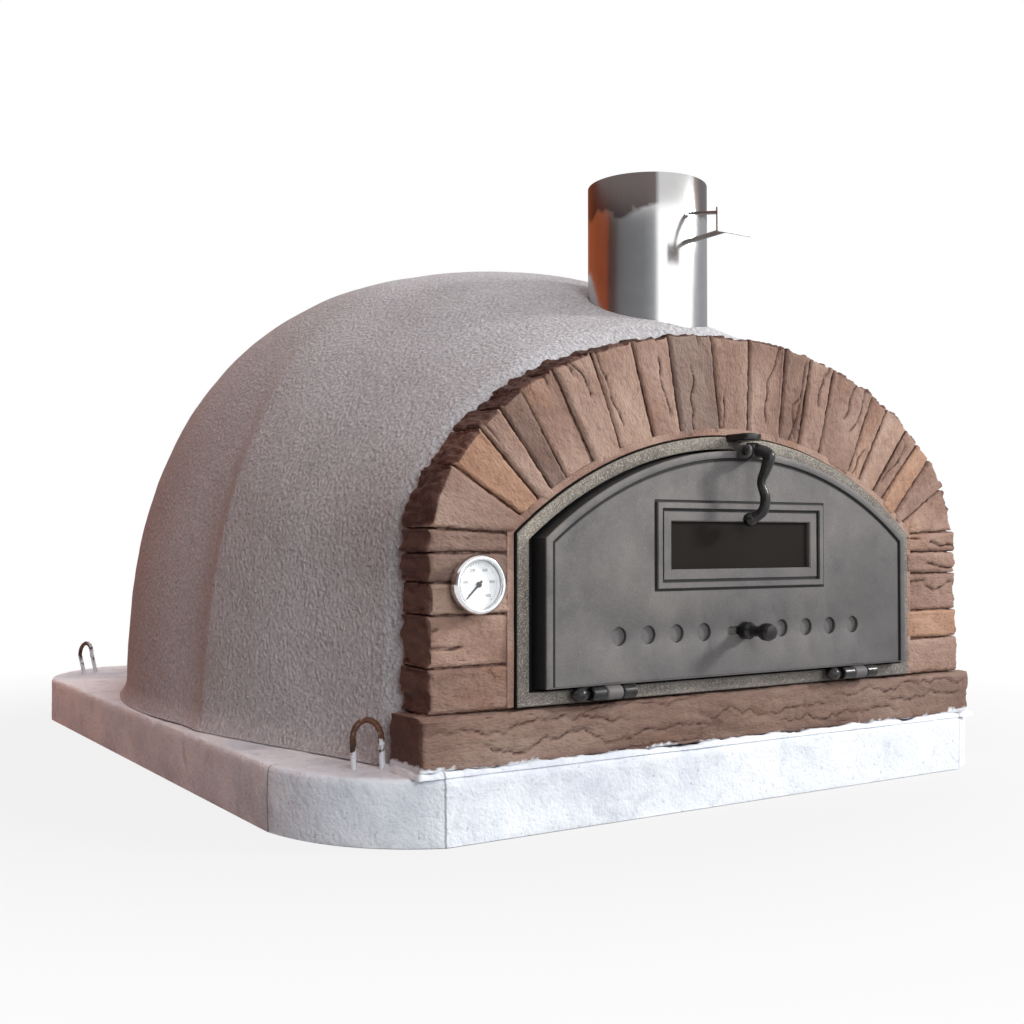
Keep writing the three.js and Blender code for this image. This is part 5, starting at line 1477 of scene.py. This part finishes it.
def leaf_mesh():
    """The leaf's tray with its openings."""
    shell = bmesh.new()
    crease = shell.verts.layers.float.new("crease")
    top = leaf_front - strip_pride
    # The third number of each step marks painted shade: nearly black on the side wall and back and in the
    # grooves by the strip and the rib, partly on the walls of the holes
    edge_profile = [
        (0.006, pocket_y, 0), (0.006, leaf_back - 0.0006, 0), (0.0054, leaf_back, 0.9),
        (0.0008, leaf_back, 0.9), (0, leaf_back - 0.0008, 0.92), (0, top + 0.0030, 0.88),
        (0.0002, top + 0.0012, 0.2), (0.0005, top + 0.0005, 0), (0.0016, top, 0),
        (strip_width - 0.0012, top, 0), (strip_width - 0.0004, top + 0.0004, 0.1),
        (strip_width, top + 0.0013, 0.8), (strip_width + 0.0003, leaf_front + 0.0006, 1.0),
        (strip_width + 0.0028, leaf_front + 0.0006, 1.0), (strip_width + 0.0034, leaf_front, 0.35),
        (strip_width + 0.0050, leaf_front, 0),
    ]
    outer = ring_faces(
        shell,
        [
            arch_ring(
                leaf_arch, inset, y,
                inset if y > leaf_front + 0.004 or inset <= 0.0016 else min(inset, 0.0016) + inset * 0.02,
            )
            for inset, y, _ in edge_profile
        ],
        crease,
        [m for _, _, m in edge_profile],
    )
    rib_top = leaf_front - 0.0028
    window_profile = [
        (0.0, leaf_front, 0), (0.0004, leaf_front + 0.0006, 1.0), (0.0026, leaf_front + 0.0006, 1.0),
        (0.0030, rib_top + 0.0010, 0.3), (0.0038, rib_top, 0), (0.0092, rib_top, 0),
        (0.0098, rib_top + 0.0010, 0.3), (0.0102, leaf_front + 0.0004, 1.0),
        (0.0127, leaf_front + 0.0004, 1.0), (0.0132, leaf_front - 0.0006, 0),
        (rib_margin - 0.0012, leaf_front - 0.0006, 0), (rib_margin, leaf_front + 0.0006, 0),
        (rib_margin, pocket_y, 0),
    ]
    window = ring_faces(
        shell,
        [
            box_ring(window_half.x + rib_margin - inset, window_half.y + rib_margin - inset, y)
            for inset, y, _ in window_profile
        ],
        crease,
        [m for _, _, m in window_profile],
    )
    fronts, backs = [outer[-1], window[0]], [outer[0], window[-1]]
    for x, reach, radius in [(x, 0.0, air_radius) for x in air_places] + [(0.0, slot_travel, slot_radius)]:
        hole_profile = [
            (radius + 0.0008, leaf_front, 0), (radius + 0.0002, leaf_front + 0.0003, 0),
            (radius, leaf_front + 0.001, 0.2), (radius, pocket_y, 0.6),
        ]
        hole = ring_faces(
            shell, [hole_ring(x, r, y, reach) for r, y, _ in hole_profile], crease,
            [m for _, _, m in hole_profile],
        )
        fronts.append(hole[0])
        backs.append(hole[-1])
    fill_between(shell, fronts)
    fill_between(shell, backs)
    bmesh.ops.recalc_face_normals(shell, faces=shell.faces)
    mesh = bpy.data.meshes.new("leaf")
    shell.to_mesh(mesh)
    shell.free()
    return mesh


latch_y, latch_z = leaf_front - 0.016, 0.4026
ear_radius, ear_thick, ear_inner = 0.008, 0.004, 0.0076


def ear_mesh(side):
    """A rounded plate with the latch pin's eye."""
    x0, x1 = sorted((side * ear_inner, side * (ear_inner + ear_thick)))
    top = latch_z + ear_radius - 0.001
    outline = [(leaf_front + 0.003, latch_z - ear_radius), (leaf_front + 0.003, top)]
    for k in range(13):
        angle = math.pi / 2 + math.pi * k / 12
        outline.append(
            (latch_y + ear_radius * math.cos(angle), min(top, latch_z + ear_radius * math.sin(angle)))
        )
    rings = [[Vector((x, y, z)) for y, z in outline] for x in (x0, x1)]
    return with_bevel(outward(mesh_of_rings("ear", rings, caps=(True, True))), 0.0008)


leaf_parts = [leaf_mesh(), ear_mesh(-1), ear_mesh(1)]
tab_y = leaf_front + knuckle_radius + 0.001
for centre_x in hinge_places:
    leaf_parts.append(knuckle_mesh(centre_x - leaf_knuckle / 2, centre_x + leaf_knuckle / 2))
    leaf_parts.append(
        cuboid(
            (centre_x - leaf_knuckle / 2, leaf_front, hinge_z),
            (centre_x + leaf_knuckle / 2, tab_y + 0.004, leaf_arch["bottom"] + 0.003),
        )
    )
    leaf_parts.append(
        cuboid(
            (centre_x - 0.038, tab_y, hinge_z + 0.001),
            (centre_x + 0.038, tab_y + 0.004, leaf_arch["bottom"] + 0.003),
        )
    )
rail_low, rail_high = air_z - 0.015, air_z + 0.015
for inner_z, outer_z in ((rail_low, rail_low - 0.005), (rail_high, rail_high + 0.005)):
    lo, hi = sorted((inner_z, outer_z))
    leaf_parts.append(cuboid((-0.216, leaf_front + 0.003, lo), (0.216, leaf_front + 0.0128, hi)))
    lip = sorted((inner_z + (0.0045 if outer_z < inner_z else -0.0045), outer_z))
    leaf_parts.append(cuboid((-0.216, leaf_front + 0.0098, lip[0]), (0.216, leaf_front + 0.0128, lip[1])))
finish_piece("leaf", joined("leaf", leaf_parts), 32, "door", door_iron, ("door_leaf",))


# Window and its retainer
# A pane of dark heat-resistant glass, held against the leaf from behind by a rebated iron frame.
window_glass, tree, place, grain = new_material("window_glass", 200.0, 12.0)
smoke = ramp(tree, grain["Patches"], (0.3, tone(30, 27, 25)), (0.7, tone(37, 33, 31)))
pane_rough = maths(tree, "MULTIPLY_ADD", grain["Patches"], 0.2, 0.50)
surface(tree, smoke, pane_rough, grain["Patches"], 0.0002, 0.2, Specular_IOR_Level=0.05)
dress("window_glass", window_glass)
dress("window_retainer", door_iron)


# Air slider and its knob
# A flat iron strip with eight holes of its own slides in rails behind the leaf. The turned knob on
# it stands out through the slot.
dress("air_slider", door_iron)
knob_low, knob_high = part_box("air_knob")
knob_profile = [
    (0.0001, knob_high.y), (0.0025, knob_high.y), (0.0025, knob_high.y - 0.0042),
    (0.004, knob_high.y - 0.0042), (0.004, leaf_front - 0.0012), (0.0092, leaf_front - 0.0012),
    (0.0100, leaf_front - 0.0022), (0.0100, leaf_front - 0.0100), (0.0092, leaf_front - 0.0116),
    (0.0068, leaf_front - 0.0140), (0.0060, leaf_front - 0.0190), (0.0062, leaf_front - 0.0245),
    (0.0076, leaf_front - 0.0295), (0.0096, leaf_front - 0.0325), (0.0100, leaf_front - 0.0350),
    (0.0100, leaf_front - 0.0395), (0.0094, leaf_front - 0.0418), (0.0078, knob_low.y + 0.0006),
    (0.0050, knob_low.y), (0.0001, knob_low.y),
]
finish_piece(
    "knob", turned(knob_profile, (0, 0, air_z), "y", 40), 40, "slider", black_iron,
    ("air_knob",),
)


# Latch
# A forged lever hangs from a pin between the leaf's ears. Its nose bears under the keeper, and its
# tail is bent like an S: a broad shoulder, a thin neck, a belly, and a ball curled back to the left.
lever_reach, lever_drop = 0.022, 0.078
lever_path_shares = [
    (0, 0, 0), (0.10, 0.55, 0.01), (0.22, 0.92, 0.085), (0.10, 0.84, 0.27), (-0.12, 0.72, 0.47),
    (0.04, 0.84, 0.68), (-0.02, 0.72, 0.88), (-0.36, 0.16, 1.0),
]
lever_radius_shares = [1.18, 1.12, 1.16, 1.00, 0.78, 0.92, 0.96, 1.05]
lever_radius = 0.0062


def blended(values, t):
    """A smooth curve through evenly spaced values, read at a share of its length."""
    spot = t * (len(values) - 1)
    i = min(int(spot), len(values) - 2)
    u = spot - i
    p0, p1, p2, p3 = (values[min(max(i + k, 0), len(values) - 1)] for k in (-1, 0, 1, 2))
    return 0.5 * (
        2 * p1 + (p2 - p0) * u + (
            2 * p0 - 5 * p1 + 4 * p2 - p3
        ) * u ** 2 + (3 * p1 - p0 - 3 * p2 + p3) * u ** 3
    )


def swept(spots, radii, sides=24):
    """A round rod of changing thickness along spots, with a ball at its end."""
    rings = []
    for i, (spot, radius) in enumerate(zip(spots, radii)):
        way = (spots[min(i + 1, len(spots) - 1)] - spots[max(i - 1, 0)]).normalized()
        up = way.cross(Vector((1, 0, 0))).normalized()
        side = up.cross(way)
        ring = []
        for k in range(sides):
            angle = 2 * math.pi * k / sides
            ring.append(spot + side * radius * math.cos(angle) + up * radius * math.sin(angle))
        rings.append(ring)
    return outward(mesh_of_rings("rod", rings, caps=(True, True)))


lever_points = []
for across, forward, down in lever_path_shares:
    lever_points.append(
        Vector((lever_reach * across, latch_y - lever_reach * forward, latch_z - lever_drop * down))
    )
lever_line = [blended(lever_points, t / 40) for t in range(41)]
lever_thick = [lever_radius * blended(lever_radius_shares, t / 40) for t in range(41)]
end_way = (lever_line[-1] - lever_line[-2]).normalized()
for k in range(1, 8):
    angle = math.pi / 2 * k / 7.2
    lever_line.append(lever_line[40] + end_way * 0.0072 * math.sin(angle))
    lever_thick.append(0.0072 * math.cos(angle))
nose_outline = [
    (-0.004, 0.0), (0.004, 0.0), (0.004, 0.0076), (0.0034, 0.0088), (0.0020, 0.0094),
    (0.0, 0.0096), (-0.0020, 0.0094), (-0.0034, 0.0088), (-0.004, 0.0076),
]
nose_rings = [[Vector((x, latch_y + y, latch_z + z)) for y, z in nose_outline] for x in (-0.007, 0.007)]
hub_profile = [
    (0.0001, -0.007), (0.0082, -0.007), (0.009, -0.0062), (0.009, 0.0062), (0.0082, 0.007),
    (0.0001, 0.007),
]
ball_radius = 0.0082
ball_profile = []
for k in range(17):
    angle = math.pi * k / 16
    ball_profile.append((max(0.0001, ball_radius * math.sin(angle)), -ball_radius * math.cos(angle)))
finish_piece("latch_handle", joined("latch_handle", [
    swept(lever_line, lever_thick), turned(ball_profile, lever_line[40], "x", 28),
    with_bevel(outward(mesh_of_rings("nose", nose_rings, caps=(True, True))), 0.0008),
    turned(hub_profile, (0, latch_y, latch_z), "x", 36),
]), 40, "latch", black_iron, ("latch_lever",))

pin_half = ear_inner + ear_thick + 0.0003
rivet_profile = [
    (0.0001, -pin_half - 0.0025), (0.0035, -pin_half - 0.0024), (0.005, -pin_half - 0.0012),
    (0.005, -pin_half), (0.003, -pin_half), (0.003, pin_half), (0.005, pin_half),
    (0.005, pin_half + 0.0012), (0.0035, pin_half + 0.0024), (0.0001, pin_half + 0.0025),
]
finish_piece(
    "latch_rivet", turned(rivet_profile, (0, latch_y, latch_z), "x", 28), 40, "door",
    black_iron, ("latch_pin",),
)


# Dial thermometer
# A steel cup with a probe through the stonework, a white dial with a printed scale, a black pointer,
# a flat glass and a polished rim that is pressed on.
gauge_x, gauge_z = -0.352, 0.2571
case_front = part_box("thermometer_case")[0].y
bezel_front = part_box("thermometer_bezel")[0].y
dial_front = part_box("thermometer_dial")[0].y

bezel_chrome, tree, place, grain = new_material("bezel_chrome", 1500.0, 120.0)
surface(
    tree, ramp(tree, grain["Patches"], (0.3, tone(205, 206, 210)), (0.7, tone(236, 236, 238))),
    maths(tree, "MULTIPLY_ADD", grain["Patches"], 0.12, 0.06), grain["Patches"], 0.0001, 0.2,
    Metallic=1.0,
)
dial_face, tree, place, grain = new_material("dial_face", 2500.0, 160.0)
surface(
    tree, ramp(tree, grain["Patches"], (0.35, tone(238, 240, 242)), (0.65, tone(248, 249, 250))),
    maths(tree, "MULTIPLY_ADD", grain["Patches"], 0.1, 0.4), grain["Specks"], 0.00005, 0.2,
)
pointer_black, tree, place, grain = new_material("pointer_black", 2500.0, 300.0)
surface(
    tree, ramp(tree, grain["Patches"], (0.3, tone(22, 22, 26)), (0.7, tone(40, 40, 46))),
    maths(tree, "MULTIPLY_ADD", grain["Patches"], 0.1, 0.4), grain["Specks"], 0.00005, 0.2,
)
lens_glass, tree, place, grain = new_material("lens_glass", 900.0, 60.0)
tint = ramp(tree, grain["Patches"], (0.3, (0.97, 0.98, 0.98, 1)), (0.7, (1, 1, 1, 1)))
lens_rough = maths(tree, "MULTIPLY_ADD", grain["Patches"], 0.03, 0.01)
lens_shader = add(tree, "ShaderNodeBsdfPrincipled", {"Base Color": tint, "Roughness": lens_rough})
lens_shader.inputs["Transmission Weight"].default_value = 1.0
lens_shader.inputs["IOR"].default_value = 1.45
open_way = add(tree, "ShaderNodeBsdfTransparent")
lens_path = add(tree, "ShaderNodeLightPath")
unshaded = maths(tree, "MAXIMUM", lens_path.outputs["Is Shadow Ray"], lens_path.outputs["Is Diffuse Ray"])
lens_mix = add(tree, "ShaderNodeMixShader", {0: unshaded, 1: lens_shader.outputs[0], 2: open_way.outputs[0]})
add(tree, "ShaderNodeOutputMaterial", {"Surface": lens_mix.outputs[0]})

bezel_profile = [
    (0.0245, case_front - 0.0001), (0.0245, bezel_front + 0.0010), (0.0252, bezel_front + 0.0002),
    (0.0268, bezel_front), (0.0284, bezel_front + 0.0006), (0.0295, bezel_front + 0.0020),
    (0.0300, bezel_front + 0.0040), (0.0300, case_front + 0.0042), (0.0294, case_front + 0.005),
    (0.0279, case_front + 0.005), (0.0279, case_front - 0.0001),
]
bezel_rings = [circle(Vector((gauge_x, y, gauge_z)), radius, 72, x_way, z_way) for radius, y in bezel_profile]
finish_piece(
    "gauge_rim", outward(mesh_of_rings("bezel", bezel_rings, loop=True)), 50, "root",
    bezel_chrome, ("thermometer_bezel",),
)
dress("thermometer_dial", dial_face)
dress("thermometer_pointer", pointer_black)
dress("thermometer_lens", lens_glass)


def scale_tree():
    """Ticks round a dial: a bar at each step of the sweep, longer at every fifth."""
    takes = [("Geometry", "NodeSocketGeometry", None), ("Material", "NodeSocketMaterial", None)]
    takes += [(key, "NodeSocketFloat", None) for key in ("Radius", "Sweep", "Long", "Short", "Width")]
    takes.append(("Count", "NodeSocketInt", None))
    tree, taken, given = group_of(
        "dial_scale", takes, [("Geometry", "NodeSocketGeometry")], "GeometryNodeTree"
    )
    spots = add(tree, "GeometryNodeMeshLine", {"Count": taken["Count"]})
    number = add(tree, "GeometryNodeInputIndex").outputs[0]
    last = maths(tree, "SUBTRACT", taken["Count"], 1.0)
    share = maths(tree, "SUBTRACT", maths(tree, "DIVIDE", number, last), 0.5)
    angle = maths(tree, "MULTIPLY", share, taken["Sweep"])
    is_long = maths(tree, "LESS_THAN", maths(tree, "MODULO", number, 5.0), 0.5)
    length = maths(
        tree, "ADD", taken["Short"],
        maths(tree, "MULTIPLY", is_long, maths(tree, "SUBTRACT", taken["Long"], taken["Short"])),
    )
    reach = maths(tree, "SUBTRACT", taken["Radius"], maths(tree, "DIVIDE", length, 2.0))
    where = add(
        tree,
        "ShaderNodeCombineXYZ",
        {
            "X": maths(tree, "MULTIPLY", reach, maths(tree, "SINE", angle)),
            "Z": maths(tree, "MULTIPLY", reach, maths(tree, "COSINE", angle)),
        },
    )
    placed = add(
        tree, "GeometryNodeSetPosition", {"Geometry": spots.outputs["Mesh"], "Position": where.outputs[0]}
    )
    tick = add(tree, "GeometryNodeMeshCube", {"Size": (1, 0.00006, 1)})
    turn = add(tree, "ShaderNodeCombineXYZ", {"Y": angle})
    size = add(tree, "ShaderNodeCombineXYZ", {"X": taken["Width"], "Y": 1.0, "Z": length})
    ticks = add(
        tree,
        "GeometryNodeInstanceOnPoints",
        {
            "Points": placed.outputs["Geometry"], "Instance": tick.outputs["Mesh"],
            "Rotation": turn.outputs[0], "Scale": size.outputs[0],
        },
    )
    whole = add(tree, "GeometryNodeRealizeInstances", {"Geometry": ticks.outputs["Instances"]})
    painted = add(
        tree, "GeometryNodeSetMaterial",
        {"Geometry": whole.outputs["Geometry"], "Material": taken["Material"]},
    )
    tree.links.new(painted.outputs["Geometry"], given["Geometry"])
    return tree


scale_mesh = grown(
    linked("scale_seed", bpy.data.meshes.new("scale_seed")),
    scale_tree(),
    {
        "Radius": 0.0222, "Sweep": math.radians(270), "Long": 0.0026, "Short": 0.0013, "Width": 0.00028,
        "Count": 51, "Material": pointer_black,
    },
)
for vertex in scale_mesh.vertices:
    vertex.co += Vector((gauge_x, dial_front - 0.00005, gauge_z))
finish_piece("gauge_scale", scale_mesh, None, "root")

numeral_parts = []
for step in range(6):
    words = bpy.data.curves.new("numeral", "FONT")
    words.body = str(step * 100)
    words.size = 0.0042
    words.align_x = "CENTER"
    words.align_y = "CENTER"
    words.extrude = 0.00003
    mesh = bpy.data.meshes.new_from_object(
        linked("numeral", words).evaluated_get(bpy.context.evaluated_depsgraph_get())
    )
    bpy.data.objects.remove(bpy.data.objects["numeral"])
    angle = math.radians(-135 + 54 * step)
    for vertex in mesh.vertices:
        x, z, depth = vertex.co
        vertex.co = Vector(
            (
                gauge_x + 0.0158 * math.sin(angle) + x, dial_front - 0.00005 - depth,
                gauge_z + 0.0158 * math.cos(angle) + z,
            )
        )
    numeral_parts.append(mesh)
finish_piece(
    "gauge_numerals", joined("gauge_numerals", numeral_parts), None, "root",
    pointer_black,
)


# Flue pipe and damper
# A welded stainless tube, seated in the vault, stained by heat towards its top, except on the front side that
# mirrors the screen's bright band, which is left clear as a painted highlight. A disc inside turns on a
# spindle whose bent strap handle stands out to the front.
flue_steel, tree, place, grain = new_material("flue_steel", 900.0, 9.0)
drawn = add(tree, "ShaderNodeMapping", {"Vector": place, "Scale": (1.0, 1.0, 0.02)})
lines = add(tree, "ShaderNodeTexNoise", {"Vector": drawn.outputs[0], "Scale": 900.0, "Detail": 3.0})
axes = add(tree, "ShaderNodeSeparateXYZ", {"Vector": place})
steel = ramp(tree, grain["Patches"], (0.3, tone(190, 189, 189)), (0.7, tone(214, 214, 214)))
cloud = add(tree, "ShaderNodeTexNoise", {
    "Vector": place, "Scale": 24.0, "Detail": 4.0, "Roughness": 0.5, "Distortion": 0.0,
})
scorched_above = maths(tree, "MULTIPLY_ADD", cloud.outputs["Fac"], -0.075, 0.738)
stain = maths(tree, "MULTIPLY", maths(tree, "SUBTRACT", axes.outputs["Z"], scorched_above), 120.0, clamp=True)
around = maths(tree, "ARCTAN2", maths(tree, "ADD", axes.outputs["Y"], -flue_centre.y), axes.outputs["X"])
# Painted highlight: the stain is left off the front side that mirrors the screen's bright band
highlight_side = maths(tree, "ABSOLUTE", maths(tree, "SUBTRACT", around, math.radians(260 - 360)))
highlight_side = maths(tree, "MULTIPLY_ADD", highlight_side, 12.0, -math.radians(17) * 12.0, clamp=True)
stain = maths(tree, "MULTIPLY", stain, maths(tree, "MULTIPLY_ADD", highlight_side, 0.9, 0.1))
steel = mixed(tree, maths(tree, "MULTIPLY", stain, 0.92), steel, tone(92, 80, 78))
brushed = maths(tree, "MULTIPLY_ADD", lines.outputs["Fac"], 0.12, 0.13)
steel_rough = maths(tree, "MULTIPLY_ADD", stain, 0.10, brushed)
surface(tree, steel, steel_rough, lines.outputs["Fac"], 0.0001, 0.15, Metallic=1.0)

pipe_low, pipe_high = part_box("flue_pipe")
pipe_wall = 0.002
rim = 0.0008
pipe_profile = [
    (flue_radius - pipe_wall, pipe_low.z), (flue_radius, pipe_low.z), (flue_radius, 0.45),
    (flue_radius, 0.55), (flue_radius, 0.65), (flue_radius, pipe_high.z - rim),
    (flue_radius - 0.0004, pipe_high.z - 0.0001), (flue_radius - 0.001, pipe_high.z),
    (flue_radius - 0.0016, pipe_high.z - 0.0001), (flue_radius - pipe_wall, pipe_high.z - rim),
    (flue_radius - pipe_wall, 0.65), (flue_radius - pipe_wall, 0.55), (flue_radius - pipe_wall, 0.45),
]
pipe_rings = [circle(flue_centre + z_way * z, radius, 128) for radius, z in pipe_profile]
finish_piece(
    "flue_tube", outward(mesh_of_rings("pipe", pipe_rings, loop=True)), 40, "root",
    flue_steel, ("flue_pipe",),
)
dress("damper_disc", flue_steel)
dress("thermometer_case", flue_steel)

strap_steel, tree, place, grain = new_material("strap_steel", 1200.0, 60.0)
strap = ramp(tree, grain["Patches"], (0.3, tone(128, 124, 122)), (0.7, tone(168, 165, 162)))
surface(
    tree, strap, maths(tree, "MULTIPLY_ADD", grain["Patches"], 0.3, 0.22), grain["Specks"], 0.0001, 0.2,
    Metallic=0.9,
)
dress("damper_handle", strap_steel)
